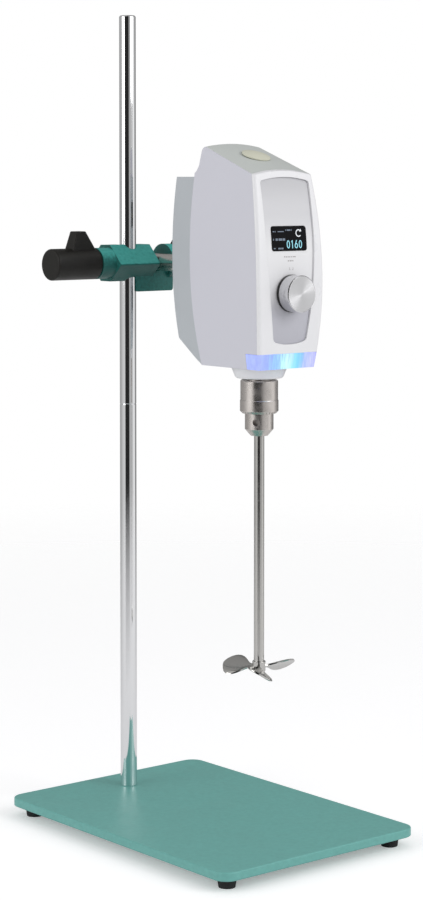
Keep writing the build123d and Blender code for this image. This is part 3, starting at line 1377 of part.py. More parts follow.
def rocker():
    """The rocker: part of a disc with two sloping faces, one pressed in and one raised."""
    x = HEAD_X
    disc = rod_x(ROCKER_RADIUS, x - ROCKER_WIDTH / 2, x + ROCKER_WIDTH / 2, rocker_y(), SWITCH_Z)
    pivot = Pos(x, rocker_y(), SWITCH_Z) * Rot(ROCKER_TILT, 0, 0)
    for side, low, high in ((-1, -CUT, 0), (1, 0, CUT)):
        above = block(-CUT, CUT, ROCKER_FACE_RISE, CUT, low, high)
        disc -= pivot * Rot(side * ROCKER_TILT, 0, 0) * above
    return disc - pivot * block(-CUT, CUT, -CUT, -ROCKER_BACK, -CUT, CUT)


# ---- chuck ---------------------------------------------------------------------------
def jaw_axis(angle):
    """The place of one jaw: its tip is at the origin, and it leans out as it goes up."""
    turn = Pos(HEAD_X, SPINDLE_Y, CHUCK_BOTTOM + JAW_TIP_RISE) * Rot(0, 0, angle)
    return turn * Pos(JAW_TIP_OFFSET, 0, 0) * Rot(0, JAW_ANGLE, 0)


def jaw_angles():
    return [JAW_START + step * 360 / JAW_COUNT for step in range(JAW_COUNT)]


def chuck_body():
    """The chuck's core: nose, jaw holes, key holes and the socket for the spindle."""
    top = CHUCK_TOP + CHUCK_RISE
    bottom = CHUCK_BOTTOM
    shoulder = CHUCK_TOP - SLEEVE_HEIGHT + CHUCK_SHOULDER
    bore = SHAFT_RADIUS + CHUCK_BORE_GAP
    socket = SPINDLE_RADIUS + FIT
    floor = spindle_bottom() - FIT
    outline = [
        (bore, bottom),
        (CHUCK_NOSE_RADIUS, bottom),
        (CHUCK_BODY_RADIUS, bottom + CHUCK_NOSE_HEIGHT),
        (CHUCK_BODY_RADIUS, shoulder),
        (CHUCK_NECK_RADIUS, shoulder),
        (CHUCK_NECK_RADIUS, top),
        (socket, top),
        (socket, floor),
        (bore, floor),
    ]
    body = turned(outline, HEAD_X, SPINDLE_Y)
    for angle in jaw_angles():
        body -= jaw_axis(angle) * jaw_hole()
        key = Pos(HEAD_X, SPINDLE_Y, CHUCK_KEY_Z) * Rot(0, 0, angle + 180 / JAW_COUNT)
        body -= key * rod_x(CHUCK_KEY_RADIUS, CHUCK_KEY_FLOOR, CHUCK_KEY_END, 0, 0)
    return body


def jaw_hole():
    """The leaning hole that one jaw slides in."""
    half = JAW_HOLE_LENGTH / 2
    return rod_z(JAW_RADIUS + RUNNING, JAW_HOLE_MIDDLE - half, JAW_HOLE_MIDDLE + half, 0, 0)


def chuck_sleeve():
    """The toothed outer sleeve that the key turns."""
    top = CHUCK_TOP
    bottom = top - SLEEVE_HEIGHT
    band = bottom + SLEEVE_BAND_HEIGHT
    inner = nut_outer_radius() + FIT
    neck = CHUCK_NECK_RADIUS + RUNNING
    body = CHUCK_BODY_RADIUS + RUNNING
    floor = bottom + SLEEVE_BOTTOM_WALL
    outline = [
        (body, bottom),
        (SLEEVE_BAND_RADIUS - SLEEVE_BOTTOM_CHAMFER, bottom),
        (SLEEVE_BAND_RADIUS, bottom + SLEEVE_BOTTOM_CHAMFER),
        (SLEEVE_BAND_RADIUS, band),
        (SLEEVE_RADIUS, band + SLEEVE_BAND_SLOPE),
        (SLEEVE_RADIUS, top - SLEEVE_TOP_CHAMFER),
        (SLEEVE_RADIUS - SLEEVE_TOP_CHAMFER, top),
        (neck, top),
        (neck, top - SLEEVE_TOP_WALL),
        (inner, top - SLEEVE_TOP_WALL),
        (inner, floor),
        (body, floor),
    ]
    sleeve = turned(outline, HEAD_X, SPINDLE_Y)
    length, width, height = SLEEVE_NOTCH
    notch = Rot(0, -45, 0) * Box(length, width, height)
    axis = Pos(HEAD_X, SPINDLE_Y, bottom)
    for place in PolarLocations(SLEEVE_BAND_RADIUS - SLEEVE_NOTCH_INSET, SLEEVE_TEETH):
        sleeve -= axis * place * notch
    return sleeve


def nut_outer_radius():
    """The nut's outside, inside the sleeve's wall."""
    return SLEEVE_RADIUS - SLEEVE_WALL


def chuck_nut():
    """The split nut pressed in the sleeve, whose thread drives the jaws."""
    low = CHUCK_TOP - SLEEVE_HEIGHT + SLEEVE_BOTTOM_WALL + NUT_GAP
    high = low + NUT_WIDTH
    ring = rod_z(nut_outer_radius(), low, high, HEAD_X, SPINDLE_Y)
    bore = nut_outer_radius() - NUT_WALL
    return ring - rod_z(bore, low - OVER, high + OVER, HEAD_X, SPINDLE_Y)


def chuck_jaw(index):
    """One jaw: a leaning round bar planed flat where it grips the shaft."""
    angle = jaw_angles()[index]
    jaw = jaw_axis(angle) * rod_z(JAW_RADIUS, 0, JAW_LENGTH, 0, 0)
    spindle_axis = Pos(HEAD_X, SPINDLE_Y, CHUCK_BOTTOM) * Rot(0, 0, angle)
    grip = SHAFT_RADIUS + RUNNING
    jaw -= spindle_axis * block(grip - 2 * CUT, grip, -CUT, CUT, -CUT, JAW_LENGTH)
    return jaw - spindle_axis * block(-CUT, CUT, -CUT, CUT, -CUT, JAW_FOOT_RISE)


def stir_shaft():
    """The stirring shaft, from the propeller up into the hollow spindle."""
    return rod_z(SHAFT_RADIUS, SHAFT_BOTTOM, SHAFT_BOTTOM + SHAFT_LENGTH, HEAD_X, SPINDLE_Y)


# ---- propeller -----------------------------------------------------------------------
def blade():
    """One flat blade, a narrow neck that widens to a rounded leaf, tilted to drive downwards."""
    centre = PROPELLER_RADIUS - BLADE_LENGTH / 2
    leaf = Pos(centre, 0) * Ellipse(BLADE_LENGTH / 2, BLADE_CHORD / 2)
    narrow = BLADE_NECK / 2
    wide = BLADE_NECK_SPREAD
    root = PROPELLER_HUB_RADIUS - BLADE_ROOT_DEPTH
    bend = (root + centre) / 2
    low = RadiusArc((bend, narrow), (centre, wide), -BLADE_CHORD)
    high = RadiusArc((bend, -narrow), (centre, -wide), BLADE_CHORD)
    neck = Polyline((bend, -narrow), (root, -narrow), (root, narrow), (bend, narrow))
    leaf += make_face(neck + low + Line((centre, wide), (centre, -wide)) + high)
    return Rot(-BLADE_TILT, 0, 0) * Pos(0, 0, -BLADE_THICKNESS / 2) * extrude(leaf, BLADE_THICKNESS)


def propeller():
    """The three-bladed propeller with its small hub, closed under the shaft."""
    hub = Cylinder(PROPELLER_HUB_RADIUS, PROPELLER_HUB_HEIGHT)
    wheel = fillet(hub.edges().group_by(Axis.Z)[0], HUB_BOTTOM_RADIUS)
    wheel = chamfer(wheel.edges().group_by(Axis.Z)[-1], HUB_TOP_CHAMFER)
    for step in range(PROPELLER_BLADES):
        wheel += Rot(0, 0, PROPELLER_TURN + step * 360 / PROPELLER_BLADES) * blade()
    wheel = Pos(HEAD_X, SPINDLE_Y, PROPELLER_Z) * wheel
    low = SHAFT_BOTTOM - FIT
    return wheel - rod_z(SHAFT_RADIUS + FIT, low, PROPELLER_Z + CUT, HEAD_X, SPINDLE_Y)


# ---- all nodes -----------------------------------------------------------------------
NODES = {
    "base_plate": base_plate,
    "rubber_feet": rubber_feet,
    "foot_screws": foot_screws,
    "column_base_screw": column_base_screw,
    "column_lower": column_lower,
    "column_upper": column_upper,
    "column_stud": column_stud,
    "boss_head": boss_head,
    "column_pad": lambda: clamp_pad("column"),
    "column_clamp_screw": lambda: clamp_screw("column"),
    "column_clamp_knob": lambda: clamp_knob("column"),
    "bar_pad": lambda: clamp_pad("bar"),
    "bar_clamp_screw": lambda: clamp_screw("bar"),
    "bar_clamp_knob": lambda: clamp_knob("bar"),
    "support_bar": support_bar,
    "main_housing": main_housing,
    "front_bezel": front_bezel,
    "rear_cover": rear_cover,
    "cover_screws": cover_screws,
    "top_cap": top_cap,
    "bottom_collar": bottom_collar,
    "light_bar": light_bar,
    "light_strip": light_strip,
    "front_panel": front_panel,
    "display_window": display_window,
    "display_module": display_module,
    "control_board": control_board,
    "board_screws": board_screws,
    "encoder_body": encoder_body,
    "encoder_shaft": encoder_shaft,
    "dial_knob": dial_knob,
    "dial_skirt": dial_skirt,
    "drive_frame": drive_frame,
    "frame_screws": frame_screws,
    "bearing_outer_races": bearing_outer_races,
    "bearing_inner_races": bearing_inner_races,
    "spindle": spindle,
    "spindle_pulley": spindle_pulley,
    "motor_pulley": motor_pulley,
    "drive_belt": drive_belt,
    "motor_body": motor_body,
    "motor_shaft": motor_shaft,
    "power_board": power_board,
    "power_inlet": power_inlet,
    "inlet_pins": inlet_pins,
    "switch_body": switch_body,
    "rocker": rocker,
    "chuck_body": chuck_body,
    "chuck_sleeve": chuck_sleeve,
    "chuck_nut": chuck_nut,
    "chuck_jaw_1": lambda: chuck_jaw(0),
    "chuck_jaw_2": lambda: chuck_jaw(1),
    "chuck_jaw_3": lambda: chuck_jaw(2),
    "stir_shaft": stir_shaft,
    "propeller": propeller,
}

os.makedirs("parts", exist_ok=True)
for name, make in NODES.items():
    export_step(make(), f"parts/{name}.step")
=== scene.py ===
"""Looks for the overhead stirrer: materials, panel marks, knob wings, propeller, studio
and camera.

All lengths are in metres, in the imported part's own frame, apart from the panel marks,
which say that theirs are millimetres. Every shape that moves with the part rides on the
body that carries it.
"""
import bpy
import json
import math
from mathutils import Matrix, Vector


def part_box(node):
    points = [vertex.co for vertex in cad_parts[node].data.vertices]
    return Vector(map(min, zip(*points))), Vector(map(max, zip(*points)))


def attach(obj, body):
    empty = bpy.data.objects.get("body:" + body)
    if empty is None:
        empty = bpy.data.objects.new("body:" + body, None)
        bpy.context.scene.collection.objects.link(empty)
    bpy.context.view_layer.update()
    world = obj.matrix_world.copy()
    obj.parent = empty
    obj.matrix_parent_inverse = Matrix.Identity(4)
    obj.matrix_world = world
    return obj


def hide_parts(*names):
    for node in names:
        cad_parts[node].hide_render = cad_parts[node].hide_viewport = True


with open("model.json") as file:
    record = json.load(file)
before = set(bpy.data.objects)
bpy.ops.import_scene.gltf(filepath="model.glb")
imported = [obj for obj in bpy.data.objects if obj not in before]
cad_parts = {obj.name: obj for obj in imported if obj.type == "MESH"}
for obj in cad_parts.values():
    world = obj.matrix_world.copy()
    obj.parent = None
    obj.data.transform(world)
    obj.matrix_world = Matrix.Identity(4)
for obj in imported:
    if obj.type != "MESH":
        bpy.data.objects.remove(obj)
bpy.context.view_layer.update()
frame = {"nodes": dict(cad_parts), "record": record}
MM = 0.001

# ---- the photograph's view -----------------------------------------------------------
CAMERA_PLACE = (-1.3521, -1.6526, 0.6137)
CAMERA_TURN = -39.378
CAMERA_TILT = 3.08
CAMERA_LENS = 92.13
CAMERA_SHIFT = -0.1667
CAMERA_SENSOR = 36.0
CAMERA_REACH = (0.05, 50.0)

# ---- colours, in linear light --------------------------------------------------------
TEAL_PLATE = (0.150, 0.430, 0.390)
TEAL_CASTING = (0.060, 0.330, 0.290)
# The next two teals are painted shade on the casting's lower faces and painted light on its upper
# faces.
TEAL_PAINTED_SHADE = (0.012, 0.085, 0.075)
TEAL_PAINTED_LIGHT = (0.065, 0.450, 0.400)
HOUSING_GREY = (0.660, 0.660, 0.720)
# The top's greener tint below is painted light falling from above.
HOUSING_TOP_PAINTED_LIGHT = (0.600, 0.630, 0.605)
# The cover's grey below is the housing's plastic painted darker as shade, and a little greener.
COVER_GREY_PAINTED_SHADE = (0.500, 0.530, 0.555)
BEZEL_WHITE = (0.850, 0.850, 0.865)
COLLAR_WHITE = (0.820, 0.820, 0.840)
IVORY = (0.690, 0.690, 0.560)
KNOB_BLACK = (0.010, 0.009, 0.007)
# The dial's black skirt is partly real and partly painted shade for the shadow and gap round the
# dial's base.
DIAL_BLACK_AND_PAINTED_SHADE = (0.010, 0.010, 0.011)
MODULE_BLACK = (0.025, 0.025, 0.026)
MOTOR_BLACK = (0.035, 0.035, 0.037)
GLASS_BLACK = (0.004, 0.004, 0.005)
RUBBER_BLACK = (0.020, 0.020, 0.021)
MARK_BLACK = (0.020, 0.020, 0.020)
CHROME = (0.860, 0.865, 0.875)
STEEL = (0.600, 0.600, 0.600)
SCREW_STEEL = (0.640, 0.640, 0.640)
PULLEY_STEEL = (0.660, 0.660, 0.670)
TOOL_STEEL = (0.600, 0.590, 0.570)
STAINLESS = (0.620, 0.600, 0.570)
NICKEL = (0.640, 0.600, 0.570)
ALUMINIUM = (0.700, 0.700, 0.715)
BRASS = (0.780, 0.580, 0.260)
FRAME_METAL = (0.560, 0.560, 0.570)
BOARD_GREEN = (0.020, 0.180, 0.080)
TRACK_GREEN = (0.050, 0.300, 0.140)
DISPLAY_CYAN = (0.350, 0.850, 1.000)
DISPLAY_WHITE = (0.900, 0.950, 1.000)
DISPLAY_DIM = (0.260, 0.340, 0.460)
PANEL_INK = (0.460, 0.440, 0.440)
BAR_BLUE = (0.300, 0.360, 0.620)
FLOOR_PAPER = (0.880, 0.880, 0.880)
WORLD_GREY = (0.620, 0.620, 0.630)
WHITE = (1.000, 1.000, 1.000)


# ---- material building ---------------------------------------------------------------
class Finish:
    """One material's nodes, with short calls for what the finishes here are made of."""

    def __init__(self, name, color, roughness, metallic=0.0):
        self.material = bpy.data.materials.new(name)
        self.material.use_nodes = True
        self.tree = self.material.node_tree
        self.shader = self.tree.nodes["Principled BSDF"]
        self.set("Base Color", (*color, 1.0))
        self.set("Roughness", roughness)
        self.set("Metallic", metallic)
        self.color = color
        self.coordinates = self.add("ShaderNodeTexCoord").outputs["Object"]

    def add(self, kind, **values):
        node = self.tree.nodes.new(kind)
        for key, value in values.items():
            setattr(node, key, value)
        return node

    def set(self, socket, value):
        self.shader.inputs[socket].default_value = value

    def join(self, output, target):
        self.tree.links.new(output, target)

    def feed(self, output, socket):
        self.join(output, self.shader.inputs[socket])

    def stretched(self, scale):
        """The object's own coordinates, scaled apart along X, Y and Z."""
        mapping = self.add("ShaderNodeMapping")
        mapping.inputs["Scale"].default_value = scale
        self.join(self.coordinates, mapping.inputs["Vector"])
        return mapping.outputs["Vector"]

    def noise(self, size, detail=3.0, stretch=(1.0, 1.0, 1.0)):
        """Soft noise whose features are about one size across."""
        node = self.add("ShaderNodeTexNoise")
        node.inputs["Scale"].default_value = 1.0 / size
        node.inputs["Detail"].default_value = detail
        self.join(self.stretched(stretch), node.inputs["Vector"])
        return node.outputs["Fac"]

    def ramp(self, value, stops, smooth="LINEAR"):
        """A colour that follows a value from 0 to 1 through the given stops."""
        node = self.add("ShaderNodeValToRGB")
        node.color_ramp.interpolation = smooth
        points = node.color_ramp.elements
        while len(points) < len(stops):
            points.new(0.5)
        for point, (place, color) in zip(points, stops):
            point.position = place
            point.color = (*color, 1.0)
        self.join(value, node.inputs["Fac"])
        return node.outputs["Color"]

    def spread(self, value, low, high, to_low=0.0, to_high=1.0):
        """A value moved from one range to another."""
        node = self.add("ShaderNodeMapRange")
        limits = {"From Min": low, "From Max": high, "To Min": to_low, "To Max": to_high}
        for key, number in limits.items():
            node.inputs[key].default_value = number
        self.join(value, node.inputs["Value"])
        return node.outputs["Result"]

    def axis(self, name):
        """The object's own X, Y or Z."""
        node = self.add("ShaderNodeSeparateXYZ")
        self.join(self.coordinates, node.inputs["Vector"])
        return node.outputs[name]

    def upward(self):
        """How far the surface faces up, from -1 to 1."""
        node = self.add("ShaderNodeSeparateXYZ")
        self.join(self.add("ShaderNodeTexCoord").outputs["Normal"], node.inputs["Vector"])
        return node.outputs["Z"]

    def math(self, operation, first, second=0.0):
        """One step of arithmetic on two numbers or outputs."""
        node = self.add("ShaderNodeMath", operation=operation)
        for socket, value in zip(node.inputs, (first, second)):
            if isinstance(value, (int, float)):
                socket.default_value = value
            else:
                self.join(value, socket)
        return node.outputs["Value"]

    def mottle(self, size, amount, detail=3.0):
        """Varies the base colour a little, lighter and darker."""
        low = tuple(channel * (1.0 - amount) for channel in self.color)
        high = tuple(min(channel * (1.0 + amount), 1.0) for channel in self.color)
        self.feed(self.ramp(self.noise(size, detail), [(0.3, low), (0.7, high)]), "Base Color")

    def vary_roughness(self, size, low, high, stretch=(1.0, 1.0, 1.0)):
        """Smears and patches in the gloss."""
        self.feed(self.spread(self.noise(size, 4.0, stretch), 0.3, 0.7, low, high), "Roughness")

    def relief(self, height, depth, strength, bevel=0.0):
        """Bumps of a real depth, over edges rounded by a bevel."""
        node = self.add("ShaderNodeBump")
        node.inputs["Strength"].default_value = strength
        node.inputs["Distance"].default_value = depth
        self.join(height, node.inputs["Height"])
        if bevel:
            edge = self.add("ShaderNodeBevel", samples=6)
            edge.inputs["Radius"].default_value = bevel
            self.join(edge.outputs["Normal"], node.inputs["Normal"])
        self.feed(node.outputs["Normal"], "Normal")


# ---- finishes ------------------------------------------------------------------------
def plate_paint():
    """Teal enamel on the steel plate, with the faint pebbling of stove enamel."""
    finish = Finish("plate_paint", TEAL_PLATE, 0.38)
    finish.mottle(0.004, 0.05)
    finish.vary_roughness(0.05, 0.34, 0.46)
    finish.relief(finish.noise(0.0016, 2.0), 0.00006, 0.6, bevel=0.0010)
    return finish


def casting_paint():
    """The same enamel on the rough cast clamp, with painted light on its upper faces and painted
    shade on its lower faces.
    """
    finish = Finish("casting_paint", TEAL_CASTING, 0.34)
    grain = finish.spread(finish.noise(0.003, 3.0), 0.3, 0.7, -0.10, 0.10)
    # The colour follows how far each face turns up, plus a little grain: painted shade below and
    # on the web, painted light above.
    value = finish.math("ADD", finish.spread(finish.upward(), -0.8, 0.8), grain)
    stops = [
        (0.00, TEAL_PAINTED_SHADE),
        (0.42, (0.016, 0.120, 0.105)),
        (0.62, (0.022, 0.170, 0.150)),
        (0.90, (0.050, 0.410, 0.360)),
        (1.00, TEAL_PAINTED_LIGHT),
    ]
    finish.feed(finish.ramp(value, stops), "Base Color")
    finish.vary_roughness(0.02, 0.28, 0.44)
    finish.relief(finish.noise(0.0022, 4.0), 0.00025, 0.7, bevel=0.0012)
    finish.set("Specular IOR Level", 0.32)
    return finish


def moulded(name, color, roughness, grain=0.0007, depth=0.00003, bevel=0.0006):
    """Moulded plastic with a fine spark-eroded grain."""
    finish = Finish(name, color, roughness)
    finish.mottle(0.03, 0.012)
    finish.vary_roughness(0.04, roughness - 0.04, roughness + 0.05)
    finish.relief(finish.noise(grain, 2.0), depth, 0.5, bevel=bevel)
    return finish


def housing_plastic():
    """Lavender-grey plastic, with painted light where it faces up: a greener, slightly darker
    tint there.
    """
    finish = moulded("housing_grey", HOUSING_GREY, 0.42)
    # Upward faces blend into the painted-light tint of the top.
    stops = [(0.0, HOUSING_GREY), (1.0, HOUSING_TOP_PAINTED_LIGHT)]
    finish.feed(finish.ramp(finish.spread(finish.upward(), 0.35, 0.85), stops), "Base Color")
    return finish


def knob_black():
    """Black plastic of the clamp knobs, satin, with a slight unevenness from handling."""
    finish = Finish("knob_black", KNOB_BLACK, 0.38)
    finish.mottle(0.006, 0.15)
    finish.vary_roughness(0.012, 0.30, 0.46)
    finish.relief(finish.noise(0.0012, 3.0), 0.00005, 0.5, bevel=0.0008)
    finish.set("Specular IOR Level", 0.30)
    return finish


def rubber(name):
    """Dull black rubber."""
    finish = Finish(name, RUBBER_BLACK, 0.75)
    finish.mottle(0.003, 0.2)
    finish.relief(finish.noise(0.0008, 3.0), 0.00008, 0.6, bevel=0.0006)
    return finish


def column_chrome():
    """Hard chrome, polished, with the faintest drawing lines along the rod."""
    finish = Finish("column_chrome", CHROME, 0.05, 1.0)
    lines = finish.noise(0.0006, 2.0, (1.0, 1.0, 0.01))
    finish.vary_roughness(0.03, 0.035, 0.075, (1.0, 1.0, 0.15))
    finish.relief(lines, 0.000004, 0.3, bevel=0.0005)
    return finish


def turned_metal(name, color, roughness, axis, pitch=0.0005, depth=0.000012, bevel=0.0003):
    """Machined metal, with fine turning lines that run round an axis."""
    finish = Finish(name, color, roughness, 1.0)
    stretch = [0.02, 0.02, 0.02]
    stretch["XYZ".index(axis)] = 1.0
    lines = finish.noise(pitch, 2.0, tuple(stretch))
    finish.vary_roughness(0.01, roughness * 0.8, roughness * 1.3)
    finish.relief(lines, depth, 0.5, bevel=bevel)
    return finish


def cast_metal():
    """The drive frame's raw casting."""
    finish = Finish("frame_metal", FRAME_METAL, 0.5, 1.0)
    finish.mottle(0.004, 0.08)
    finish.relief(finish.noise(0.001, 4.0), 0.0001, 0.6, bevel=0.0005)
    return finish


def circuit_board():
    """Green lacquer over copper tracks."""
    finish = Finish("board_green", BOARD_GREEN, 0.3)
    tracks = finish.spread(finish.noise(0.0015, 0.0), 0.50, 0.52)
    finish.feed(finish.ramp(tracks, [(0.0, BOARD_GREEN), (1.0, TRACK_GREEN)]), "Base Color")
    finish.relief(tracks, 0.00003, 0.5)
    return finish


def panel_foil():
    """The silver foil, with a painted reflection: grey at its head and foot, near white round the
    display.
    """
    finish = Finish("panel_foil", (0.75, 0.75, 0.77), 0.36)
    low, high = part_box("front_panel")
    height = finish.spread(finish.axis("Z"), low[2], high[2])
    # The gradient by height is a painted reflection of the studio in the foil.
    stops = [
        (0.00, (0.50, 0.50, 0.55)),
        (0.17, (0.53, 0.53, 0.58)),
        (0.30, (0.80, 0.80, 0.82)),
        (0.55, (0.84, 0.84, 0.85)),
        (0.80, (0.66, 0.66, 0.68)),
        (1.00, (0.56, 0.56, 0.58)),
    ]
    finish.feed(finish.ramp(height, stops, "EASE"), "Base Color")
    finish.vary_roughness(0.01, 0.32, 0.42)
    finish.relief(finish.noise(0.0004, 2.0), 0.00001, 0.4)
    return finish


def display_glass():
    """The black display window, glossy with faint wipe marks."""
    finish = Finish("display_glass", GLASS_BLACK, 0.08)
    finish.vary_roughness(0.008, 0.05, 0.13)
    finish.set("Specular IOR Level", 0.10)
    finish.relief(finish.noise(0.01, 1.0), 0.00001, 0.2)
    return finish


def dial_metal():
    """Spun aluminium: rings so fine that the light opens into bright wedges."""
    finish = Finish("dial_metal", ALUMINIUM, 0.22, 1.0)
    rings = finish.noise(0.0003, 2.0, (1.0, 0.02, 1.0))
    finish.set("Anisotropic", 0.85)
    tangent = finish.add("ShaderNodeTangent", direction_type="RADIAL", axis="Y")
    finish.feed(tangent.outputs["Tangent"], "Tangent")
    finish.relief(rings, 0.000004, 0.2, bevel=0.0003)
    return finish


def light_clear():
    """The clear bar, lit from behind by its lamps: blue at its ends, cyan in the middle."""
    finish = Finish("light_clear", BAR_BLUE, 0.10)
    low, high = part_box("light_bar")
    across = finish.spread(finish.axis("X"), low[0], high[0])
    streaks = finish.noise(0.0016, 3.0, (1.0, 0.3, 0.12))
    shifted = finish.math("ADD", across, finish.spread(streaks, 0.25, 0.75, -0.05, 0.05))
    stops = [
        (0.00, (0.34, 0.40, 0.86)),
        (0.12, (0.22, 0.30, 0.92)),
        (0.30, (0.16, 0.45, 0.98)),
        (0.44, (0.45, 0.90, 0.98)),
        (0.52, (0.55, 0.95, 0.98)),
        (0.60, (0.16, 0.74, 0.90)),
        (0.68, (0.03, 0.55, 0.66)),
        (0.78, (0.36, 0.42, 0.88)),
        (0.92, (0.50, 0.48, 0.86)),
        (1.00, (0.12, 0.06, 0.34)),
    ]
    finish.feed(finish.ramp(shifted, stops, "EASE"), "Emission Color")
    finish.set("Transmission Weight", 0.15)
    finish.set("IOR", 1.49)
    finish.set("Specular IOR Level", 0.3)
    finish.feed(finish.spread(streaks, 0.30, 0.70, 0.50, 0.85), "Emission Strength")
    finish.relief(streaks, 0.00008, 0.4, bevel=0.0006)
    return finish


FINISHES = {
    "plate_paint": plate_paint,
    "foot_rubber": lambda: rubber("foot_rubber"),
    "fastener_steel": lambda: turned_metal("fastener_steel", STEEL, 0.30, "Z"),
    "column_chrome": column_chrome,
    "casting_paint": casting_paint,
    "screw_steel": lambda: turned_metal("screw_steel", SCREW_STEEL, 0.25, "X"),
    "pad_brass": lambda: turned_metal("pad_brass", BRASS, 0.28, "X"),
    "knob_black": knob_black,
    "bar_steel": lambda: turned_metal("bar_steel", STAINLESS, 0.20, "Y", 0.0004, 0.00001),
    "housing_grey": housing_plastic,
    # The rear cover is the housing's plastic painted darker, as shade on faces turned away from
    # the light.
    "cover_grey": lambda: moulded("cover_grey", COVER_GREY_PAINTED_SHADE, 0.46),
    "bezel_white": lambda: moulded("bezel_white", BEZEL_WHITE, 0.30, depth=0.00001),
    "collar_white": lambda: moulded("collar_white", COLLAR_WHITE, 0.30, depth=0.00001),
    "cap_ivory": lambda: moulded("cap_ivory", IVORY, 0.40),
    "panel_foil": panel_foil,
    "display_glass": display_glass,
    "module_black": lambda: moulded("module_black", MODULE_BLACK, 0.42),
    "board_green": circuit_board,
    "dial_metal": dial_metal,
    # The black skirt is partly painted shade: it stands for the shadow and gap round the dial's
    # base as well as a dark ring.
    "dial_black": lambda: moulded("dial_black", DIAL_BLACK_AND_PAINTED_SHADE, 0.35),
    "light_clear": light_clear,
    "frame_metal": cast_metal,
    "race_steel": lambda: turned_metal("race_steel", STEEL, 0.22, "Z"),
    "pulley_metal": lambda: turned_metal("pulley_metal", PULLEY_STEEL, 0.30, "Z"),
    "belt_rubber": lambda: rubber("belt_rubber"),
    "motor_black": lambda: moulded("motor_black", MOTOR_BLACK, 0.40),
    "chuck_nickel": lambda: turned_metal("chuck_nickel", NICKEL, 0.27, "Z", 0.0004, 0.00001),
    "tool_steel": lambda: turned_metal("tool_steel", TOOL_STEEL, 0.14, "Z", 0.0005, 0.000006),
}


def dress_nodes():
    """Gives every CAD node the finish of its own slot."""
    made = {slot: make().material for slot, make in FINISHES.items()}
    for part in frame["record"]["subparts"]:
        node = frame["nodes"][part["node"]]
        node.data.materials.clear()
        node.data.materials.append(made[part["material_slot"]])
    return made


# ---- printed and lit marks on the panel ----------------------------------------------
# The front bulges about one height, and the display and the foil are set back from it.
GLASS_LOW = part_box("display_window")[0]
FRONT_BULGE = 0.476
FRONT_MIDDLE_Z = 0.510
FRONT_Y = -0.0812
GLASS_DEPTH = 0.0013
PANEL_DEPTH = 0.0018
MARK_RISE = 0.00006

# Mark sizes are in millimetres, and places are X and Z from the glass's lower left corner.
DIGIT_WIDTH = 3.9
DIGIT_HEIGHT = 7.4
DIGIT_LINE = 0.95
DIGIT_FOOT = 2.2
DIGIT_PLACES = ((17.6, "0"), (22.6, "1"), (27.2, "6"), (32.2, "0"))
FLAG_REACH = 1.3
FLAG_DROP = (1.2, 2.2)
BOWL_SHARE = 0.32
TAIL_FOOT_SHARE = 0.34
TAIL_TOP_SHARES = (0.50, 0.78)
ARROW_CENTRE = (32.6, 16.0)
ARROW_RADIUS = 3.5
ARROW_LINE = 1.0
ARROW_TURN = (50.0, 318.0)
ARROW_HEAD = [(33.6, 17.2), (36.2, 17.6), (35.4, 19.9)]
ARC_STEPS = 18
RING_STEPS = 28
# Each mark below is the X and Z of its lower left corner, its width and its height.
DIM_MARKS = (
    (1.6, 17.2, 2.0, 0.9),
    (4.2, 17.0, 0.8, 1.2),
    (7.6, 17.2, 7.4, 0.8),
    (16.8, 18.2, 0.8, 1.3),
    (18.6, 18.2, 4.6, 1.2),
    (24.0, 18.2, 0.8, 1.3),
    (1.6, 9.6, 0.9, 1.7),
    (4.6, 9.4, 2.6, 2.0),
    (8.2, 9.4, 4.2, 2.0),
    (13.0, 9.4, 3.0, 2.0),
    (1.8, 1.9, 2.2, 0.9),
    (7.2, 1.6, 3.2, 1.4),
    (10.8, 1.6, 2.6, 1.4),
)
PRINTED_MARKS = (
    (14.2, -5.9, 1.2, 1.2),
    (16.0, -5.9, 2.2, 0.9),
    (18.8, -5.9, 2.6, 0.9),
    (22.0, -5.9, 2.0, 0.9),
    (24.6, -5.9, 3.6, 0.9),
    (18.4, -9.6, 1.8, 1.1),
    (20.8, -9.6, 2.4, 1.1),
    (23.8, -9.6, 1.4, 1.1),
    (20.0, -17.4, 0.5, 2.4),
    (20.0, -17.4, 1.4, 0.4),
    (24.2, -17.4, 0.5, 2.4),
    (23.3, -17.4, 1.4, 0.4),
)


def front_at(z, depth):
    """Where the bulged front, moved back by a depth, stands at a height."""
    return FRONT_Y + depth + (z - FRONT_MIDDLE_Z) ** 2 / (2.0 * FRONT_BULGE)


def new_piece(name, points, faces, material, body):
    """A mesh piece that rides on a body and takes its finish from a slot."""
    mesh = bpy.data.meshes.new(name)
    mesh.from_pydata(points, [], faces)
    mesh.update()
    piece = bpy.data.objects.new(name, mesh)
    bpy.context.collection.objects.link(piece)
    mesh.materials.append(material)
    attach(piece, body)
    return piece


def mark(name, outlines, depth, material):
    """Flat outlines in X and Z, laid on the curved front."""
    points = []
    faces = []
    for outline in outlines:
        start = len(points)
        for x, z in outline:
            high = GLASS_LOW[2] + z * MM
            points.append((GLASS_LOW[0] + x * MM, front_at(high, depth) - MARK_RISE, high))
        faces.append(list(range(start, len(points))))
    return new_piece(name, points, faces, material, "head")


def bar_outline(x, z, width, height):
    """A rectangle from its lower left corner."""
    return [(x, z), (x + width, z), (x + width, z + height), (x, z + height)]


def ring_quads(centre, outer, line, start, end, steps):
    """Short quads along an oval ring; angles in degrees from +X, turning towards +Z."""
    quads = []
    turns = [math.radians(start + (end - start) * step / steps) for step in range(steps + 1)]
    for first, second in zip(turns, turns[1:]):
        quad = []
        for turn, cut in ((first, line), (second, line), (second, 0.0), (first, 0.0)):
            x = centre[0] + (outer[0] - cut) * math.cos(turn)
            z = centre[1] + (outer[1] - cut) * math.sin(turn)
            quad.append((x, z))
        quads.append(quad)
    return quads


def digit_ring(x, z, height):
    """A closed ring as wide as a digit, its lower left corner at x and z."""
    outer = (DIGIT_WIDTH / 2, height / 2)
    centre = (x + outer[0], z + outer[1])
    return ring_quads(centre, outer, DIGIT_LINE, 0.0, 360.0, RING_STEPS)


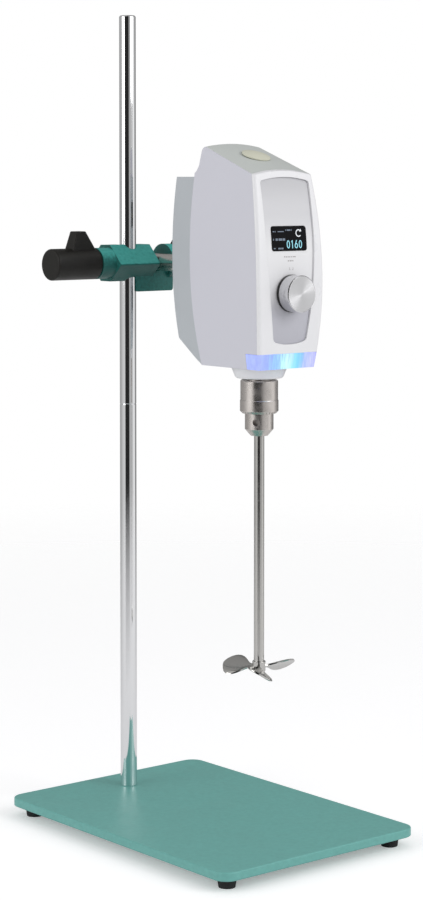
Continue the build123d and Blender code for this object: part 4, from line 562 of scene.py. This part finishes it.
def digit(kind, x, z):
    """A display digit 0, 1 or 6, its lower left corner at x and z."""
    if kind == "0":
        return digit_ring(x, z, DIGIT_HEIGHT)
    top = z + DIGIT_HEIGHT
    if kind == "1":
        edge = x + DIGIT_WIDTH / 2 - DIGIT_LINE / 2
        tip = x + DIGIT_WIDTH / 2 - FLAG_REACH
        flag = [(edge, top), (tip, top - FLAG_REACH)]
        flag += [(tip, top - FLAG_DROP[1]), (edge, top - FLAG_DROP[0])]
        return [bar_outline(edge, z, DIGIT_LINE, DIGIT_HEIGHT), flag]
    foot = z + DIGIT_HEIGHT * TAIL_FOOT_SHARE
    left, right = (x + DIGIT_WIDTH * share for share in TAIL_TOP_SHARES)
    tail = [(x, foot), (x + DIGIT_LINE, foot), (right, top), (left, top)]
    return digit_ring(x, z, 2.0 * DIGIT_HEIGHT * BOWL_SHARE) + [tail]


def glow_paint(name, color, strength):
    """A lit display mark, its glow a little uneven."""
    finish = Finish(name, MARK_BLACK, 0.4)
    grain = finish.spread(finish.noise(0.0004, 1.0), 0.3, 0.7, strength * 0.85, strength)
    finish.set("Emission Color", (*color, 1.0))
    finish.feed(grain, "Emission Strength")
    return finish.material


def display_marks():
    """The lit digits, the turning arrow, the dim rows beside them and the faint print."""
    bright = glow_paint("display_bright", DISPLAY_CYAN, 0.95)
    digits = []
    for x, kind in DIGIT_PLACES:
        digits += digit(kind, x, DIGIT_FOOT)
    mark("display_digits", digits, GLASS_DEPTH, bright)
    white = glow_paint("display_white", DISPLAY_WHITE, 0.95)
    round_arrow = (ARROW_RADIUS, ARROW_RADIUS)
    arrow = ring_quads(ARROW_CENTRE, round_arrow, ARROW_LINE, *ARROW_TURN, ARC_STEPS)
    mark("display_arrow", arrow + [ARROW_HEAD], GLASS_DEPTH, white)
    dim = glow_paint("display_dim", DISPLAY_DIM, 0.55)
    rows = [bar_outline(*place) for place in DIM_MARKS]
    mark("display_rows", rows, GLASS_DEPTH, dim)
    ink = moulded("panel_ink", PANEL_INK, 0.5, bevel=0.0).material
    printed = [bar_outline(*place) for place in PRINTED_MARKS]
    mark("panel_print", printed, PANEL_DEPTH, ink)


# ---- fuller wings on the clamp knobs -------------------------------------------------
WING_FOOT = (0.0006, 0.0306)
WING_CROWN = (0.0136, 0.0240)
WING_FOOT_RADIUS = 0.0102
WING_TIP_RADIUS = 0.0312
WING_HALF_FOOT = 0.0072
WING_HALF_CROWN = 0.0056
WING_EDGE = 0.0008
WING_EDGE_STEPS = 3


def knob_wing(name, node, side, body, material):
    """The thick tapered wing that the fingers turn the knob by, from the knob's inner end."""
    low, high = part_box(node)
    start = high[0] if side < 0 else low[0]
    middle_y = (low[1] + high[1]) / 2
    axis_z = low[2] + (high[1] - low[1]) / 2
    points = []
    for half, ends, reach in (
        (WING_HALF_FOOT, WING_FOOT, WING_FOOT_RADIUS),
        (WING_HALF_CROWN, WING_CROWN, WING_TIP_RADIUS),
    ):
        for y in (-half, half):
            for end in ends:
                points.append((start + side * end, middle_y + y, axis_z + reach))
    faces = [(0, 1, 3, 2), (4, 6, 7, 5), (0, 4, 5, 1), (2, 3, 7, 6), (0, 2, 6, 4), (1, 5, 7, 3)]
    if side > 0:
        faces = [tuple(reversed(face)) for face in faces]
    piece = new_piece(name, points, faces, material, body)
    edge = piece.modifiers.new("edge", "BEVEL")
    edge.width = WING_EDGE
    edge.segments = WING_EDGE_STEPS


# ---- propeller with blades that swell smoothly from their necks ----------------------
PROPELLER_Z = 0.1568
BLADE_ANGLES = (231.5, 351.5, 111.5)
BLADE_TILT = 30.0
BLADE_HALF = 0.00085
BLADE_CUP = 0.0012
BLADE_FULL = 0.0139
BLADE_STEPS = 8
# The distance from the axis, and half the blade's width there.
BLADE_STATIONS = (
    (0.0048, 0.0026),
    (0.0080, 0.0026),
    (0.0105, 0.0034),
    (0.0130, 0.0054),
    (0.0160, 0.0084),
    (0.0190, 0.0110),
    (0.0220, 0.0129),
    (0.0250, 0.0139),
    (0.0280, 0.0138),
    (0.0305, 0.0127),
    (0.0330, 0.0106),
    (0.0350, 0.0079),
    (0.0365, 0.0046),
    (0.0373, 0.0014),
)
# The radius, and the height from the propeller's middle.
HUB_OUTLINE = (
    (0.0000, -0.0055),
    (0.0037, -0.0055),
    (0.0050, -0.0051),
    (0.0059, -0.0042),
    (0.0062, -0.0030),
    (0.0062, 0.0050),
    (0.0057, 0.0055),
    (0.0000, 0.0055),
)
HUB_STEPS = 48
SHARP_ANGLE = 40.0


def hub_mesh(points, faces, centre):
    """The turned hub."""
    start = len(points)
    for radius, z in HUB_OUTLINE:
        for step in range(HUB_STEPS):
            turn = 2.0 * math.pi * step / HUB_STEPS
            place = Vector((radius * math.cos(turn), radius * math.sin(turn), z))
            points.append(tuple(centre + place))
    for ring in range(len(HUB_OUTLINE) - 1):
        for step in range(HUB_STEPS):
            low = start + ring * HUB_STEPS
            high = low + HUB_STEPS
            after = (step + 1) % HUB_STEPS
            faces.append((low + step, low + after, high + after, high + step))


def blade_mesh(points, faces, centre, angle):
    """One cupped blade: an upper and a lower skin that meet at a thin edge."""
    around = Matrix.Rotation(math.radians(angle), 4, "Z")
    turn = around @ Matrix.Rotation(math.radians(-BLADE_TILT), 4, "X")
    start = len(points)
    row = 2 * BLADE_STEPS
    for reach, half in BLADE_STATIONS:
        for step in range(row):
            share = math.cos(2.0 * math.pi * step / row)
            if step % BLADE_STEPS == 0:
                rise = 0.0
            elif step < BLADE_STEPS:
                rise = BLADE_HALF
            else:
                rise = -BLADE_HALF
            cup = -BLADE_CUP * share * share * min(half / BLADE_FULL, 1.0)
            place = turn @ Vector((reach, half * share, rise + cup))
            points.append(tuple(centre + place))
    for station in range(len(BLADE_STATIONS) - 1):
        for step in range(row):
            low = start + station * row
            after = (step + 1) % row
            faces.append((low + step, low + row + step, low + row + after, low + after))
    faces.append(tuple(start + step for step in range(row)))
    last = start + (len(BLADE_STATIONS) - 1) * row
    faces.append(tuple(last + step for step in reversed(range(row))))


def propeller_piece(material):
    """The whole wheel, in place of the plainer CAD one."""
    low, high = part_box("stir_shaft")
    centre = Vector(((low[0] + high[0]) / 2, (low[1] + high[1]) / 2, PROPELLER_Z))
    points = []
    faces = []
    hub_mesh(points, faces, centre)
    for angle in BLADE_ANGLES:
        blade_mesh(points, faces, centre, angle)
    piece = new_piece("propeller_wheel", points, faces, material, "tool")
    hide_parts("propeller")
    for polygon in piece.data.polygons:
        polygon.use_smooth = len(polygon.vertices) == 4
    edges = piece.modifiers.new("edges", "EDGE_SPLIT")
    edges.split_angle = math.radians(SHARP_ANGLE)


# ---- studio --------------------------------------------------------------------------
FLOOR_RADIUS = 2.2
FLOOR_FADE = 1.75
FLOOR_MARGIN = 0.02
FLOOR_STEPS = 96
FLOOR_GLOW = 0.30
HEAD_MIDDLE = (0.03, -0.03, 0.50)
KEY_PLACE = (0.9, -2.0, 1.5)
KEY_SIZE = (1.2, 1.6)
KEY_POWER = 20.0
FILL_PLACE = (-2.2, 0.4, 1.1)
FILL_SIZE = (1.4, 1.4)
FILL_POWER = 13.0
# The sockets of Blender's Mix node that hold its colours.
MIX_FIRST, MIX_SECOND, MIX_RESULT = 6, 7, 2
# How bright the studio's walls are in reflections, once round from behind the camera.
STUDIO_STOPS = (
    (0.000, 0.020),
    (0.046, 0.020),
    (0.062, 0.42),
    (0.200, 0.60),
    (0.245, 0.92),
    (0.285, 0.92),
    (0.315, 0.36),
    (0.420, 0.20),
    (0.500, 0.20),
    (0.560, 0.34),
    (0.700, 0.42),
    (0.800, 0.62),
    (0.890, 0.66),
    (0.902, 0.022),
    (1.000, 0.020),
)


def floor():
    """A round pale floor that fades out before its edge."""
    mesh = bpy.data.meshes.new("floor")
    turns = [2.0 * math.pi * step / FLOOR_STEPS for step in range(FLOOR_STEPS)]
    rim = [(FLOOR_RADIUS * math.cos(turn), FLOOR_RADIUS * math.sin(turn), 0.0) for turn in turns]
    mesh.from_pydata(rim, [], [list(range(FLOOR_STEPS))])
    piece = bpy.data.objects.new("floor", mesh)
    bpy.context.collection.objects.link(piece)
    finish = Finish("floor_paper", FLOOR_PAPER, 0.9)
    rays = finish.add("ShaderNodeLightPath")
    finish.set("Emission Color", (*WHITE, 1.0))
    glow = finish.math("MULTIPLY", rays.outputs["Is Camera Ray"], FLOOR_GLOW)
    finish.feed(glow, "Emission Strength")
    finish.relief(finish.noise(0.002, 2.0), 0.00005, 0.2)
    distance = finish.add("ShaderNodeVectorMath", operation="LENGTH")
    finish.join(finish.coordinates, distance.inputs[0])
    fade_start = FLOOR_RADIUS - FLOOR_FADE
    fade_end = FLOOR_RADIUS - FLOOR_MARGIN
    finish.feed(finish.spread(distance.outputs["Value"], fade_start, fade_end, 1.0, 0.0), "Alpha")
    piece.data.materials.append(finish.material)


def studio_world():
    """A plain even light, which polished metal sees as white walls and a dark gap."""
    world = bpy.data.worlds.new("studio")
    bpy.context.scene.world = world
    world.use_nodes = True
    tree = world.node_tree
    nodes = tree.nodes
    links = tree.links
    background = nodes["Background"]
    place = nodes.new("ShaderNodeTexCoord")
    turn = nodes.new("ShaderNodeMapping")
    turn.vector_type = "POINT"
    turn.inputs["Rotation"].default_value = (0.0, 0.0, math.radians(-CAMERA_TURN - 90.0))
    links.new(place.outputs["Generated"], turn.inputs["Vector"])
    gradient = nodes.new("ShaderNodeTexGradient")
    gradient.gradient_type = "RADIAL"
    links.new(turn.outputs["Vector"], gradient.inputs["Vector"])
    walls = nodes.new("ShaderNodeValToRGB")
    points = walls.color_ramp.elements
    while len(points) < len(STUDIO_STOPS):
        points.new(0.5)
    for point, (at, level) in zip(points, STUDIO_STOPS):
        point.position = at
        point.color = (level, level, level, 1.0)
    links.new(gradient.outputs["Fac"], walls.inputs["Fac"])
    rays = nodes.new("ShaderNodeLightPath")
    shown = nodes.new("ShaderNodeMath")
    shown.operation = "MAXIMUM"
    links.new(rays.outputs["Is Camera Ray"], shown.inputs[0])
    links.new(rays.outputs["Is Transmission Ray"], shown.inputs[1])
    plain = nodes.new("ShaderNodeMix")
    plain.data_type = "RGBA"
    links.new(rays.outputs["Is Glossy Ray"], plain.inputs["Factor"])
    plain.inputs[MIX_FIRST].default_value = (*WORLD_GREY, 1.0)
    links.new(walls.outputs["Color"], plain.inputs[MIX_SECOND])
    final = nodes.new("ShaderNodeMix")
    final.data_type = "RGBA"
    links.new(shown.outputs["Value"], final.inputs["Factor"])
    links.new(plain.outputs[MIX_RESULT], final.inputs[MIX_FIRST])
    final.inputs[MIX_SECOND].default_value = (*WHITE, 1.0)
    links.new(final.outputs[MIX_RESULT], background.inputs["Color"])
    background.inputs["Strength"].default_value = 1.0


def lamp(name, place, target, size, power):
    """A soft rectangular lamp aimed at a point."""
    data = bpy.data.lights.new(name, "AREA")
    data.shape = "RECTANGLE"
    data.size, data.size_y = size
    data.energy = power
    light = bpy.data.objects.new(name, data)
    light.location = place
    light.rotation_euler = (Vector(target) - Vector(place)).to_track_quat("-Z", "Y").to_euler()
    bpy.context.collection.objects.link(light)


def studio_lamps():
    """A large key lamp in front on the right, and a softer one on the left."""
    lamp("key", KEY_PLACE, HEAD_MIDDLE, KEY_SIZE, KEY_POWER)
    lamp("fill", FILL_PLACE, HEAD_MIDDLE, FILL_SIZE, FILL_POWER)


def camera():
    """The photograph's own view."""
    data = bpy.data.cameras.new("photo_view")
    data.lens = CAMERA_LENS
    data.sensor_width = CAMERA_SENSOR
    data.shift_y = CAMERA_SHIFT
    data.clip_start, data.clip_end = CAMERA_REACH
    eye = bpy.data.objects.new("photo_view", data)
    eye.location = CAMERA_PLACE
    eye.rotation_euler = (math.radians(90.0 - CAMERA_TILT), 0.0, math.radians(CAMERA_TURN))
    bpy.context.collection.objects.link(eye)
    bpy.context.scene.camera = eye


def main():
    """Builds the whole picture."""
    made = dress_nodes()
    display_marks()
    knob_wing("column_knob_wing", "column_clamp_knob", -1, "column_knob", made["knob_black"])
    knob_wing("bar_knob_wing", "bar_clamp_knob", 1, "bar_knob", made["knob_black"])
    propeller_piece(made["tool_steel"])
    floor()
    studio_world()
    studio_lamps()
    camera()
    bpy.context.scene.view_settings.view_transform = "Standard"


main()
